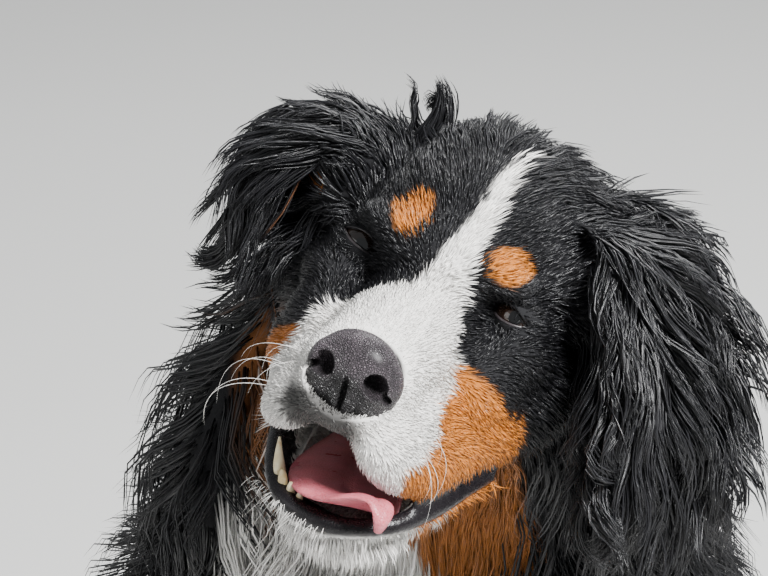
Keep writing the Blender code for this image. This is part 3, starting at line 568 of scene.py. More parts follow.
    def build(self, head: HeadFrame) -> bpy.types.Object:
        """The skin of the whole animal, finer on the head, before it is shrunk under the coat."""
        place = Matrix.Translation(head.shift)
        parts = []
        for form in (*self.skull, *self.jaw, *self.lips(), *self.ears):
            parts += form.build(head.matrix)
        parts += self.neck.build(place)
        face = Bench.fused("face", parts, self.fine, 5)
        Bench.cut(face, self.trough.build(head.matrix)[0])
        Bench.cut(face, self.half_space(head, 0.001, 1))
        parts = []
        for form in self.skull:
            parts += form.build(head.matrix)
        for form in (self.neck, *self.trunk, Tube(self.tail), *self.legs, *self.toe_balls()):
            parts += form.build(place)
        rest = Bench.fused("skin", parts, self.coarse, 6)
        Bench.cut(rest, self.half_space(head, 0.0, -1))
        Bench.cut(rest, face, "UNION")
        return rest


class Fur(Enum):
    """The colours of the coat, as linear values."""

    BLACK = (0.0075, 0.0075, 0.009)
    WHITE = (0.86, 0.84, 0.805)
    TAN = (0.50, 0.165, 0.022)
    RUST = (0.25, 0.088, 0.020)
    LIP = (0.009, 0.0075, 0.009)
    GUM = (0.055, 0.018, 0.022)


@dataclass(frozen=True)
class Eye:
    """One eye: its place in the head's frame and the slit between its lids."""

    side: int
    axis: tuple[float, float, float]
    slit: tuple[float, float, float]
    radius: float = 12.0
    lid: float = 13.7
    half: float = 11.0
    upper: float = 2.5
    lower: float = 2.5

    @property
    def centre(self) -> Array:
        """The middle of the eyeball."""
        return np.array([44.0 * self.side, 11.0, -1.0])

    def frame(self) -> Array:
        """Unit rows: outwards along the slit, up across it, and out of the eye."""
        out = unit(np.array(self.axis))
        along = np.array(self.slit) * np.array([self.side, 1, 1])
        along = unit(along - out * along.dot(out))
        up = np.cross(out, along) * self.side
        return np.stack([along, up if up[2] > 0 else -up, out])

    def local(self, spots: Array) -> Array:
        """Places of the head's frame, along, across and out of the eye."""
        return (spots - self.centre) @ self.frame().T

    def gap(self, u: Array, v: Array) -> Array:
        """How far inside the slit places lie, below zero outside it."""
        return np.minimum(self.edge(u, True) - v, v - self.edge(u, False))

    def edge(self, u: Array, above: bool) -> Array:
        """How far the lid's edge lies from the middle of the slit."""
        share = np.clip(u / self.half, -1, 1)
        arch = 1 - np.abs(share) ** 2.2
        return self.upper * arch * (1 - 0.20 * share) if above else -self.lower * arch


EYES = (
    Eye(1, (-0.24, -0.96, 0.12), (1.0, 0.25, -0.10), half=11.8, upper=5.8, lower=2.7),
    Eye(-1, (0.02, -0.91, 0.34), (1.0, 0.25, 0.20), half=11.8, upper=4.8, lower=3.0),
)


@dataclass(frozen=True)
class Sight:
    """The line of sight that the portrait is framed on. Angles are in degrees."""

    head: HeadFrame
    azimuth: float = 15.0
    elevation: float = 22.0
    distance: float = 1.8
    aim: tuple[float, float] = (-0.0282, -0.0035)

    def axes(self) -> Array:
        """Unit rows: to the right, upwards, and back along the line of sight."""
        az, el = math.radians(self.azimuth), math.radians(self.elevation)
        back = (math.sin(az) * math.cos(el), -math.cos(az) * math.cos(el), math.sin(el))
        right = (math.cos(az), math.sin(az), 0.0)
        return np.array([right, np.cross(back, right), back])

    def target(self) -> Array:
        """The place that is looked at, close to the point between the eyes."""
        right, up, _ = self.axes()
        return self.head.out(np.array([[0, 11, -1]]))[0] + right * self.aim[0] + up * self.aim[1]

    def flat(self, places: Array) -> tuple[Array, Array]:
        """How far to the right and how high places are seen, in millimetres at the eyes."""
        off = np.asarray(places, float) - self.target()
        across, up, near = (off @ self.axes().T).T
        scale = 1000.0 * self.distance / (self.distance - near)
        return across * scale, up * scale


@dataclass(frozen=True)
class Markings:
    """Where the coat is black, white and tan, and where the skin is bare.

    The edges of the blaze are rows of a height on the face and a place across it. Those of
    the throat are rows of a height and a place to the right, along the line of sight.
    """

    head: HeadFrame
    throat_white: Rows = (
        (-190, -84), (-146, -83), (-137, -79), (-127, -76), (-111, -71), (-102, -66), (-92, -60),
    )
    throat_edge: Rows = ((-190, 22), (-146, 22), (-133, 21), (-125, 17), (-112, 12), (-92, 8))
    throat_tan: Rows = (
        (-190, 40), (-146, 57), (-136, 66), (-121, 80), (-113, 76), (-103, 71), (-89, 68),
        (-70, 66),
    )
    blaze_right: Rows = (
        (-140, -64), (-81, -56), (-63, -49), (-44, -42), (-33, -25), (-21, -11), (-12, -3), (-1, 0),
        (17, 3), (36, 5), (61, 6), (80, 6.5), (97, 9),
    )
    blaze_left: Rows = (
        (-125, 41), (-109, 45), (-89, 43), (-68, 36), (-54, 35), (-34, 28), (-9, 20), (10, 17),
        (26, 17), (50, 15.5), (71, 13.5), (88, 11.5), (97, 9.4),
    )
    spots: tuple = (
        ((-20.5, -10, 29.5), (9.0, 16, 11.5)), ((34, -9, 25.5), (11.5, 16, 9.2)),
        ((-86, 46, 12), (9, 16, 7)),
    )

    @staticmethod
    def edge(rows: Rows, height: Array) -> Array:
        """Where an edge of the markings lies at each height."""
        return np.interp(height, *np.array(rows).T)

    def blaze(self, spots: Array) -> Array:
        """How white the face is at places of the head's frame."""
        x, y, z = spots.T
        height = z + 0.6 * y
        right, left = self.edge(self.blaze_right, height), self.edge(self.blaze_left, height)
        side = ease(-1.3, 1.3, x - right) * ease(-1.3, 1.3, left - x)
        return side * ease(97, 88, height) * ease(75, 60, y)

    def throat(self, places: Array) -> tuple[Array, Array]:
        """How white and how tan the lower jaw, the throat and the front of the neck are."""
        spots, body = self.head.into(places), self.head.body(places)
        across, height = Sight(self.head).flat(places)
        across = across + 1.6 * ripple(spots, 11.0, 31)
        jaw = ease(-84, -90, spots[:, 2]) * ease(60, 40, spots[:, 1])
        neck = ease(26, 44, spots[:, 1]) * ease(0.02, -0.03, body[:, 1])
        neck = neck * ease(0.570, 0.592, body[:, 2])
        zone = np.maximum(jaw, neck * ease(-66, -76, height))
        borders = (self.throat_white, self.throat_edge, self.throat_tan)
        left, edge, right = (self.edge(rows, height) for rows in borders)
        white = ease(-2.0, 2.0, across - left) * ease(2.0, -2.0, across - edge)
        tan = ease(-2.0, 2.0, across - edge) * ease(3.0, -3.0, across - right)
        return white * zone, tan * zone

    def cheeks(self, spots: Array) -> Array:
        """How tan the cheeks are."""
        x, y, z = spots.T
        wide = np.abs(x)
        top = np.interp(wide, (30, 50, 60, 70, 80, 95), (-27, -30, -38, -54, -72, -90))
        top = top - 13 * ease(0, -20, x)
        front = ease(1.5, -1.5, z - top) * ease(16, 4, y + 0.25 * (z + 60))
        return front * ease(26, 32, wide)

    def far_cheek_rust_and_shade(self, places: Array) -> Array:
        """How rusty the ruff behind the right side of the muzzle is, where the rust is painted
        darker as painted shade on the shaded side of the head.
        """
        across, height = Sight(self.head).flat(places)
        x, y, _ = self.head.into(places).T
        share = ease(-80, -70, across) * ease(-42, -50, across)
        share = share * ease(-98, -84, height) * ease(-2, -20, height)
        return share * ease(0, 20, y) * ease(130, 110, y) * ease(-20, -40, x)

    @staticmethod
    def philtrum_hair_and_shade(spots: Array) -> Array:
        """How grey the short hair between the nose and the lip is: partly its own dark colour,
        partly painted shade under the nose pad.
        """
        y = spots[:, 1]
        gap = away(spots[:, [0, 2]], (-6, -61), (22, 13))
        return ease(1.25, 0.75, gap) * ease(-46, -60, y)

    def spot(self, spots: Array) -> Array:
        """How tan the eyebrows and the root of the ear are."""
        out = np.zeros(len(spots))
        for centre, radii in self.spots:
            out = np.maximum(out, ease(1.12, 0.88, away(spots, centre, radii)))
        return out

    def paint(self, places: Array, seed: int = 3) -> Array:
        """The colour of the coat.

        Args:
            places: Places of the model in metres, one row each.
            seed: The seed of the noise along the edges of the markings.

        Returns:
            A linear colour for each place.
        """
        spots = self.head.into(places)
        rough = ripple(spots, 9.0, seed)[:, None] * np.array([[1.2, 0, 1.2]])
        spots = spots + rough
        body = self.head.body(places)
        kinds = (Fur.BLACK, Fur.WHITE, Fur.TAN, Fur.RUST)
        black, white, tan, rust = (np.array(kind.value) for kind in kinds)
        color = np.tile(black, (len(places), 1))
        # The dark grey under the nose: partly the hair's own colour, partly painted shade under the
        # nose pad.
        grey = 0.05 * white
        throat_white, throat_tan = self.throat(places)
        for share, tone in (
            # The throat's tan is a darker rust than the legs': partly its own colour, partly
            # painted shade under the jaw.
            (self.legs_tan(body), rust * 0.55 + tan * 0.45), (throat_tan, rust * 0.75 + tan * 0.25),
            # The ruff behind the right side of the muzzle is rust painted darker still, as painted
            # shade on the shaded side of the head.
            (self.far_cheek_rust_and_shade(places), rust * 0.65), (self.cheeks(spots), tan),
            (self.spot(spots), tan), (self.chest(body), white), (self.paws(body), white),
            (throat_white, white), (self.blaze(spots), white), (0.94 * self.philtrum_hair_and_shade(spots), grey),
        ):
            color = color + (tone - color) * share[:, None]
        return color

    @staticmethod
    def chest(body: Array) -> Array:
        """How white the front of the chest is."""
        x, y, z = body.T
        middle = np.interp(z, (0.36, 0.46, 0.60, 0.68), (0.0, 0.0, -0.032, -0.03))
        half = np.interp(z, (0.30, 0.36, 0.44, 0.52, 0.60), (0.01, 0.045, 0.085, 0.085, 0.067))
        edge = half - np.abs(x - middle) + 0.006 * ripple(body, 0.05, 21)
        share = ease(-0.004, 0.004, edge) * ease(-0.02, -0.05, y)
        return share * ease(0.29, 0.33, z) * ease(0.592, 0.570, z)

    @staticmethod
    def legs_tan(body: Array) -> Array:
        """How tan the legs, the sides of the chest and the root of the tail are."""
        x, y, z = body.T
        wide = np.abs(x)
        jag = 0.012 * ripple(body, 0.06, 22)
        fore = ease(0.30, 0.26, z + jag) * ease(0.02, 0.0, y)
        hind = ease(0.105, 0.085, z + jag) * ease(0.42, 0.38, y) * ease(0.10, 0.115, wide)
        patch = away(np.stack([wide, y, z], 1), (0.125, -0.13, 0.43), (0.035, 0.08, 0.05))
        vent = away(body, (0, 0.47, 0.05), (0.06, 0.05, 0.04))
        return np.maximum.reduce([fore, hind, ease(1.1, 0.9, patch), ease(1.1, 0.9, vent)])

    @staticmethod
    def paws(body: Array) -> Array:
        """How white the paws and the tip of the tail are."""
        x, y, z = body.T
        jag = 0.010 * ripple(body, 0.05, 23)
        fore = ease(0.085, 0.070, z + jag - 0.35 * np.maximum(-0.11 - y, 0)) * ease(0.0, -0.02, y)
        hind = ease(0.20, 0.18, y + jag) * ease(0.085, 0.07, z) * ease(0.0, 0.02, y)
        tip = ease(-0.245, -0.262, x) * ease(0.5, 0.55, y)
        return np.maximum.reduce([fore, hind, tip])

    def bare(self, places: Array) -> Array:
        """How bare the skin is: in the mouth, on the lips, under the nose pad and in the eyes."""
        spots = self.head.into(places)
        x, y, z = spots.T
        rows = smooth_rows(Flesh().trough.stations, 8)
        gap = np.full(len(spots), 9.0)
        for row in rows:
            gap = np.minimum(gap, away(spots, row[:3], (row[3] + 1.2, 9.0, row[4] + 1.2)))
        mouth = ease(1.06, 1.0, gap)
        lip = smooth_rows(Flesh().jaw[1].stations, 8)[:, :3]
        near, _, _ = along_path(spots, lip)
        off = spots - near
        low = -3.0 - 5.0 * ease(30, 5, x) * ease(-42, -30, x)
        rim = ease(13.5, 12.0, away(spots, near)) * ease(low - 1.5, low + 1.5, off[:, 2])
        rim = rim * ease(22, 14, y)
        pad = away(spots[:, [0, 2]], (2, -35), (21.5, 17.5))
        under = ease(1.06, 0.98, pad) * ease(-78, -82, y) * ease(-66, -60, z)
        palate = ease(26, 20, np.abs(x - 2)) * ease(-74, -68, y)
        palate = palate * ease(-62, -66, z) * ease(-97, -93, z)
        return np.maximum.reduce([mouth, rim, under, palate])

    def apertures(self, places: Array, margin: float = 1.0) -> Array:
        """Which places lie in the slits of the eyes, or within a margin of their edges."""
        spots = self.head.into(places)
        out = np.zeros(len(spots))
        for eye in EYES:
            u, v, w = eye.local(spots).T
            inside = eye.gap(u, v) + margin
            share = ease(-0.3, 0.3, inside) * ease(eye.half + margin, eye.half, np.abs(u)) * (w > 0)
            out = np.maximum(out, share * (w < 30))
        return out


@dataclass
class Skin:
    """The one skin of the animal, shrunk under the coat, sculpted and painted."""

    head: HeadFrame
    marks: Markings
    lowest: float = 0.0012
    obj: bpy.types.Object = None

    def depth(self, places: Array) -> Array:
        """How far the skin lies inside the solids, in metres: the depth of the core's coat."""
        spots = self.head.into(places)
        body = self.head.body(places)
        x, y, z = spots.T
        face = 0.0022 + 0.0025 * ease(-30, 20, y) + 0.004 * ease(30, 90, y)
        ear = ease(70, 84, np.abs(x)) * ease(-110, -100, z) * ease(110, 100, y)
        face = face + (0.0012 - face) * ear
        trunk = np.full(len(places), 0.012)
        low = ease(0.30, 0.12, body[:, 2])
        leg = low * np.maximum(ease(0.02, -0.02, body[:, 1]), ease(0.14, 0.08, body[:, 2]))
        trunk = trunk + (0.0045 - trunk) * leg
        back = ease(80, 125, y - 0.4 * z)
        return face + (trunk - face) * back

    def build(self) -> bpy.types.Object:
        """Makes the skin, and gives it its colours and its unwrap."""
        self.obj = Flesh().build(self.head)
        self.refine()
        mesh = self.obj.data
        places = Bench.points(self.obj)
        places = places - Bench.normals(self.obj) * self.depth(places)[:, None]
        places = self.sculpt(places)
        places[:, 2] = np.maximum(places[:, 2], self.lowest)
        mesh.vertices.foreach_set("co", places.ravel())
        mesh.update()
        Bench.pick(self.obj)
        bpy.ops.object.mode_set(mode="EDIT")
        bpy.ops.mesh.select_all(action="SELECT")
        bpy.ops.mesh.quads_convert_to_tris()
        bpy.ops.uv.smart_project(angle_limit=math.radians(66), island_margin=0.002)
        bpy.ops.object.mode_set(mode="OBJECT")
        mesh.uv_layers.active.name = "OFBake"
        bpy.ops.object.shade_smooth()
        self.paint()
        return self.obj

    def refine(self) -> None:
        """Subdivides the skin round the eyes, for the lids."""
        for reach in (24.0, 19.0):
            places = self.head.into(Bench.points(self.obj))
            near = np.zeros(len(places), bool)
            for eye in EYES:
                near |= away(places, eye.centre) < reach
            shape = bmesh.new()
            shape.from_mesh(self.obj.data)
            shape.verts.ensure_lookup_table()
            edges = [e for e in shape.edges if all(near[v.index] for v in e.verts)]
            bmesh.ops.subdivide_edges(shape, edges=edges, cuts=1, use_grid_fill=True, smooth=0.6)
            shape.to_mesh(self.obj.data)
            shape.free()

    def sculpt(self, places: Array) -> Array:
        """Adds the lids and the furrow of the brow, and presses the skin in front of the nose pad
        back behind the pad.
        """
        spots = self.head.into(places)
        head = away(spots, (0, 20, -20)) < 170
        work = spots[head]
        x, y, z = work.T
        furrow = np.exp(-((x - 3) ** 2) / 50) * ease(-18, 0, z)
        furrow = furrow * ease(90, 50, y) * ease(-30, -10, y)
        work = work + np.stack([0 * x, 1.6 * furrow, -1.8 * furrow], 1)
        pad = away(work[:, [0, 2]], (2, -35), (22.5, 18.5))
        behind = np.maximum(-88 - work[:, 1], 0) * ease(1.12, 0.98, pad)
        work[:, 1] += behind
        for eye in EYES:
            work = self.lid(eye, work)
        spots[head] = work
        return self.head.out(spots)

    @staticmethod
    def lid(eye: Eye, spots: Array) -> Array:
        """Lays the skin round one eye over the eyeball, and opens it with a slit."""
        local = eye.local(spots)
        u, v, w = local.T
        wide = np.sqrt(u**2 + v**2)
        hood = eye.lid + 1.0 * ease(1.0, 4.0, v) * ease(11, 6, v)
        dome = np.sqrt(np.maximum(hood**2 - wide**2, 9.0))
        front = ease(-9, -3, w)
        raised = np.maximum(dome - w, 0) * ease(16.5, 12.0, wide) * front
        pressed = np.maximum(w - dome, 0) * ease(12.5, 7.0, wide) * front
        w = w + raised - pressed
        open_share = ease(-0.35, 0.35, eye.gap(u, v)) * (np.abs(u) < eye.half) * (w > 0)
        w = w - 5.5 * open_share
        return eye.centre + np.stack([u, v, w], 1) @ eye.frame()

    def paint(self) -> None:
        """Writes the colour of the coat and the wet places to the skin."""
        places = Bench.points(self.obj)
        color = self.marks.paint(places)
        bare = self.marks.bare(places)
        spots = self.head.into(places)
        deep = ease(-55, -20, spots[:, 1]) * ease(-84, -92, spots[:, 2])
        lip, gum = np.array(Fur.LIP.value), np.array(Fur.GUM.value)
        lining = lip + (gum - lip) * (deep * ease(30, 22, np.abs(spots[:, 0] - 4)))[:, None]
        color = color + (lining - color) * bare[:, None]
        near_eye = self.marks.apertures(places, 0.3)[:, None]
        color = color + (lip - color) * near_eye
        wet = np.maximum(bare, 0.4 * near_eye[:, 0])
        Bench.tint(self.obj.data, "Fur", color)
        Bench.tint(self.obj.data, "Wet", np.repeat(wet[:, None], 3, 1))


@dataclass
class Ground:
    """What the coat grows from: the triangles of the skin, ready for numbers."""

    skin: bpy.types.Object
    tree: BVHTree = field(init=False)
    corners: Array = field(init=False)
    normals: Array = field(init=False)
    uvs: Array = field(init=False)
    areas: Array = field(init=False)

    def __post_init__(self) -> None:
        """Reads the triangles, their normals, areas and unwrap."""
        mesh = self.skin.data
        points = Bench.points(self.skin)
        mesh.calc_loop_triangles()
        count = len(mesh.loop_triangles)
        index = np.empty(count * 3, int)
        mesh.loop_triangles.foreach_get("vertices", index)
        loops = np.empty(count * 3, int)
        mesh.loop_triangles.foreach_get("loops", loops)
        uvs = np.empty(len(mesh.loops) * 2)
        mesh.uv_layers["OFBake"].data.foreach_get("uv", uvs)
        index = index.reshape(-1, 3)
        self.corners = points[index]
        self.normals = Bench.normals(self.skin)[index]
        self.uvs = uvs.reshape(-1, 2)[loops.reshape(-1, 3)]
        a, b, c = self.corners.transpose(1, 0, 2)
        self.areas = np.linalg.norm(np.cross(b - a, c - a), axis=1) / 2
        self.tree = BVHTree.FromPolygons(points.tolist(), [tuple(t) for t in index.tolist()])

    def scatter(self, count: int, density: Array, seed: int) -> tuple[Array, Array, Array]:
        """Spreads roots over the skin.

        Args:
            count: How many roots.
            density: How thickly they stand on each triangle.
            seed: The seed of their places.

        Returns:
            Their places, normals and places on the unwrap.
        """
        rng = np.random.default_rng(seed)
        weights = self.areas * density
        total = weights.cumsum()
        marks = (np.arange(count) + rng.random(count)) * total[-1] / count
        picked = np.minimum(np.searchsorted(total, marks), len(total) - 1)
        r, s = rng.random((2, count))
        flip = r + s > 1
        r, s = np.where(flip, 1 - r, r), np.where(flip, 1 - s, s)
        mix = np.stack([1 - r - s, r, s], 1)[:, :, None]
        return (
            (self.corners[picked] * mix).sum(1), unit((self.normals[picked] * mix).sum(1)),
            (self.uvs[picked] * mix).sum(1),
        )

    def nearest(self, points: Array) -> tuple[Array, Array]:
        """The nearest places of the skin, and the skin's normals there."""
        hits = [self.tree.find_nearest(p) for p in points.tolist()]
        return np.array([h[0] for h in hits]), np.array([h[1] for h in hits])


@dataclass(frozen=True)
class Lie:
    """The way in which the coat lies, all over the animal."""

    head: HeadFrame

    def ear_share(self, spots: Array) -> tuple[Array, Array]:
        """How much each place belongs to an ear, and the way down that ear.

        Args:
            spots: Places of the head's frame.

        Returns:
            A share from 0 to 1, and directions of the head's frame.
        """
        share = np.zeros(len(spots))
        ways = np.zeros((len(spots), 3))
        for side, leaf in zip((1, -1), Flesh().ears):
            path = smooth_rows(leaf.stations, 8)
            _, way, at = along_path(spots, path[:, :3])
            middles, wides, ups, _, half, _ = (np.array(v) for v in zip(*leaf.rings()))
            nearest = np.linalg.norm(spots[:, None] - middles[None], axis=2).argmin(1)
            off = spots - middles[nearest]
            wide = (off * wides[nearest]).sum(1) / half[nearest].clip(12)
            thick = (off * ups[nearest]).sum(1) + leaf.bow * half[nearest] * wide**2
            part = ease(1.35, 1.1, np.abs(wide)) * ease(16, 11, np.abs(thick))
            part = part * ease(54, 66, side * spots[:, 0]) * ease(0.04, 0.12, at)
            out = wides[nearest] * wide[:, None]
            root = np.array([side * 52, 58, 40])
            fan = unit(spots - root) + 0.45 * way + 0.35 * out
            ways = np.where((part > share)[:, None], fan, ways)
            share = np.maximum(share, part)
        return share, ways

    def face(self, spots: Array) -> Array:
        """The way of the short hair of the face, in the head's frame."""
        x, y, z = spots.T
        side = np.tanh((x - 3) / 14)
        brow = ease(0, 26, z) * ease(-30, -5, y)
        flank = ease(14, 34, np.abs(x)) * ease(10, -25, z)
        low = ease(-58, -84, z)
        across = side * (0.20 + 0.75 * brow + 0.10 * flank)
        back = 1.0 - 0.35 * brow - 0.45 * low
        rise = 0.12 + 0.75 * brow - 0.55 * flank - 0.75 * low
        rise = rise - 0.5 * ease(20, 70, y) * ease(30, -20, z)
        return np.stack([across, back, rise], 1)

    def trunk(self, body: Array) -> Array:
        """The way of the long coat of the body, in the model's frame."""
        x, y, z = body.T
        spine = smooth_rows(
            (
                (0.056, -0.112, 0.765), (0.028, -0.048, 0.645), (0.0, 0.020, 0.480),
                (0.0, 0.220, 0.295), (0.0, 0.415, 0.110),
            ),
            8,
        )
        near, way, _ = along_path(body, spine)
        off = unit(body - near)
        ways = way + np.array([0, 0, -0.45]) + 0.15 * off
        leg = ease(0.30, 0.20, z) * np.maximum(ease(0.01, -0.02, y), ease(0.105, 0.125, np.abs(x)))
        ways = ways + (np.array([0, 0.12, -1.0]) - ways) * leg[:, None]
        foot = ease(0.075, 0.05, z)
        return ways + (np.array([0, -1.0, -0.15]) - ways) * foot[:, None]

    def ways(self, places: Array, normals: Array) -> Array:
        """The way of the coat along the skin.

        Args:
            places: Places of the model in metres.
            normals: The skin's normals there.

        Returns:
            Unit vectors that lie in the skin.
        """
        spots, body = self.head.into(places), self.head.body(places)
        face = self.head.turned(self.face(spots))
        back = ease(78, 112, spots[:, 1] - 0.35 * spots[:, 2])[:, None]
        ways = face + (self.trunk(body) - face) * back
        share, down = self.ear_share(spots)
        ways = ways + (self.head.turned(down) - ways) * share[:, None]
        near, along, _ = along_path(body, smooth_rows(Flesh().tail, 8)[:, :3])
        tail = (ease(0.43, 0.47, body[:, 1]) * ease(0.12, 0.10, away(body, near)))[:, None]
        ways = ways + (along + 0.35 * unit(body - near) - ways) * tail
        return unit(ways - normals * (ways * normals).sum(1, keepdims=True))


@dataclass
class Growth:
    """What one part of the coat is made of. Lengths are in metres. One function gives
    the density at places of the skin with their normals, and one the length at places."""

    name: str
    count: int
    seed: int
    density: Callable[[Array, Array], Array]
    length: Callable[[Array], Array]
    width: float
    rings: int = 2
    rise: float = 0.35
    droop: float = 0.0
    curl: float = 0.0
    turns: float = 1.2
    clumps: int = 0
    gather: float = 0.7
    follow: bool = False
    sink: float = 0.0015
    flat: float = 0.40
    shapes: tuple = ()


@dataclass
class Coat:
    """Solid tufts and locks that grow from the skin."""

    head: HeadFrame
    ground: Ground
    marks: Markings
    lie: Lie
    limit: int = 190000
    reach: float = 0.260
    past_reach: float = 0.018
    most_spread: float = 0.012
    near_skin: float = 0.045
    smoothing: int = 6
    bake_patch: float = 0.003

    def guides(self, kind: Growth, roots: Array, normals: Array, lengths: Array) -> Array:
        """Marches each guide hair along the skin.

        Args:
            kind: What the hair is like.
            roots: Its roots in metres.
            normals: The skin's normals there.
            lengths: The length of each hair.

        Returns:
            The points of each hair, from under the skin to the tip.
        """
        way = self.lie.ways(roots, normals)
        spots = roots.copy()
        skin_way = normals.copy()
        out = [roots - normals * kind.sink]
        down = np.array([0, 0, -1.0])
        for step in range(1, kind.rings + 1):
            share = step / kind.rings
            lift = kind.rise * (1 - share) ** 1.2
            way = unit(way + skin_way * lift + down * kind.droop * share)
            spots = spots + way * (lengths / kind.rings)[:, None]
            if kind.follow:
                near, facing = self.ground.nearest(spots)
                gap = ((spots - near) * facing).sum(1)
                least = lengths * (0.05 + 0.13 * share)
                most = lengths * (0.10 + 0.30 * share) + 0.002
                close = away(spots, near) < self.near_skin
                lowered = np.where(close & (gap > most), 0.5 * (gap + most), gap)
                wanted = np.where(gap < least, least, lowered)
                spots = spots + facing * (0.8 * (wanted - gap))[:, None]
                skin_way = facing
                turned = self.lie.ways(near, facing)
                way = unit(way + (turned - way) * (0.34 * close)[:, None])
            out.append(spots)
        paths = np.stack(out, 1)
        for _ in range(self.smoothing):
            paths[:, 2:-1] = 0.5 * paths[:, 2:-1] + 0.25 * (paths[:, 1:-2] + paths[:, 3:])
        return paths

    def curled(self, kind: Growth, paths: Array, lengths: Array, rng: np.random.Generator) -> Array:
        """Bends hairs in waves that neighbours share.

        Args:
            kind: What the hair is like.
            paths: The points of each hair.
            lengths: The length of each hair.
            rng: The source of what is left to chance.

        Returns:
            The bent hairs.
        """
        roots = paths[:, 0]
        count = paths.shape[1]
        share = np.arange(count) / (count - 1)
        ways = unit(np.gradient(paths, axis=1))
        lean = unit(rng.normal(size=(len(roots), 1, 3)) * 0.12 + [0, -0.4, 0.6])
        side = unit(np.cross(ways, np.broadcast_to(lean, ways.shape)))
        up = np.cross(side, ways)
        phase = 3.0 * ripple(roots, 0.08, kind.seed + 5) + rng.normal(size=len(roots)) * 0.3
        turns = kind.turns * (1 + 0.25 * ripple(roots, 0.09, kind.seed + 9))
        angle = phase[:, None] + 2 * math.pi * turns[:, None] * share
        size = (kind.curl * lengths)[:, None] * share**0.8
        start = np.sin(phase)[:, None] * size
        wave = (np.sin(angle) * size - start * (1 - share))[:, :, None]
        lift = (np.cos(angle) * size * 0.5)[:, :, None]
        return paths + side * wave + up * lift * share[None, :, None]

    def shaped(self, kind: Growth) -> Array:
        """Guide hairs that follow given curves of the head's frame.

        Args:
            kind: What the hair is like.

        Returns:
            The points of each guide hair in metres.
        """
        out = []
        for rows in kind.shapes:
            path = smooth_rows(rows, 8)
            at = np.append(0, np.linalg.norm(np.diff(path, axis=0), axis=1).cumsum())
            where = np.linspace(0, at[-1], kind.rings + 1)
            even = np.stack([np.interp(where, at, line) for line in path.T], 1)
            out.append(self.head.out(even))
        return np.array(out)

    def grow(self, kind: Growth) -> list:
        """Grows one part of the coat, in as many pieces as it needs.

        Args:
            kind: What it is made of.

        Returns:
            The new objects.
        """
        rng = np.random.default_rng(kind.seed)
        mids = self.ground.corners.mean(1)
        facing = unit(self.ground.normals.mean(1))
        dense = kind.density(mids, facing) * (1 - self.marks.bare(mids))
        dense = dense * (1 - self.marks.apertures(mids, 0.3))
        roots, normals, uvs = self.ground.scatter(kind.count, dense, kind.seed)
        lengths = kind.length(roots) * rng.uniform(0.78, 1.12, kind.count)
        share = (np.arange(kind.rings + 1) / kind.rings)[None, :, None]
        if kind.clumps or kind.shapes:
            if kind.shapes:
                guides = self.shaped(kind)
                stems, stem_normals = guides[:, 0], np.zeros((len(guides), 3))
                stem_lengths = np.linalg.norm(np.diff(guides, axis=1), axis=2).sum(1)
            else:
                stems, stem_normals, _ = self.ground.scatter(kind.clumps, dense, kind.seed + 1)
                stem_lengths = kind.length(stems) * rng.uniform(0.85, 1.15, kind.clumps)
                guides = self.guides(kind, stems, stem_normals, stem_lengths)
                guides = self.curled(kind, guides, stem_lengths, rng)
            tree = KDTree(len(stems))
            for i, spot in enumerate(stems + 0.02 * stem_normals):
                tree.insert(spot, i)
            tree.balance()
            owner = np.array([tree.find(p)[1] for p in (roots + 0.02 * normals).tolist()])
            offset = roots - stems[owner]
            paths = guides[owner] - guides[owner][:, :1] + (roots - normals * kind.sink)[:, None]
            spread = offset[:, None] * kind.gather * share**1.1
            spread = np.clip(spread, -self.most_spread, self.most_spread)
            scale = np.clip(lengths / stem_lengths[owner], 0.5, 1.2)[:, None, None]
            paths = paths[:, :1] + (paths - paths[:, :1]) * scale - spread
            loose = rng.normal(size=(kind.count, 1, 3)) * 0.03 * lengths[:, None, None]
            paths = paths + loose * share**1.5
        else:
            paths = self.guides(kind, roots, normals, lengths)
            if kind.curl:
                paths = self.curled(kind, paths, lengths, rng)
            loose = rng.normal(size=(kind.count, 1, 3)) * 0.07 * lengths[:, None, None]
            paths = paths + loose * share
        paths[:, :, 2] = np.maximum(paths[:, :, 2], 0.001 + kind.width * 0.5)
        wide = np.abs(paths[:, :, 0]) - self.reach
        soft = wide - self.past_reach * np.tanh(wide / self.past_reach)
        paths[:, :, 0] -= np.sign(paths[:, :, 0]) * np.where(wide > 0, soft, 0)
        return self.pieces(kind, paths, normals, uvs, roots, rng)

    def pieces(
        self, kind: Growth, paths: Array, normals: Array, uvs: Array, roots: Array, rng: Any,
    ) -> list:
        """Turns hairs into closed, flat, tapered tufts.

        Args:
            kind: What the hair is like.
            paths: The points of each hair.
            normals: The skin's normals at the roots.
            uvs: The roots' places on the unwrap.
            roots: The roots in metres.
            rng: The source of what is left to chance.

        Returns:
            The new objects.
        """
        color = self.marks.paint(paths[:, kind.rings // 2] if kind.clumps else roots)
        tone = rng.uniform(0.78, 1.18, (len(roots), 1))
        color = color * tone
        per = 6 * (kind.rings - 1) + 4
        size = max(1, self.limit // per)
        total = len(roots)
        parts = max(1, math.ceil(total / size))
        order = np.argsort(roots[:, 1] + 2.0 * roots[:, 2], kind="stable")
        out = []
        for number, chunk in enumerate(np.array_split(order, parts)):
            name = f"{kind.name}_{number + 1}" if parts > 1 else kind.name
            part = (paths[chunk], normals[chunk], uvs[chunk], color[chunk])
            out.append(self.mesh(kind, name, *part, rng))
        return out

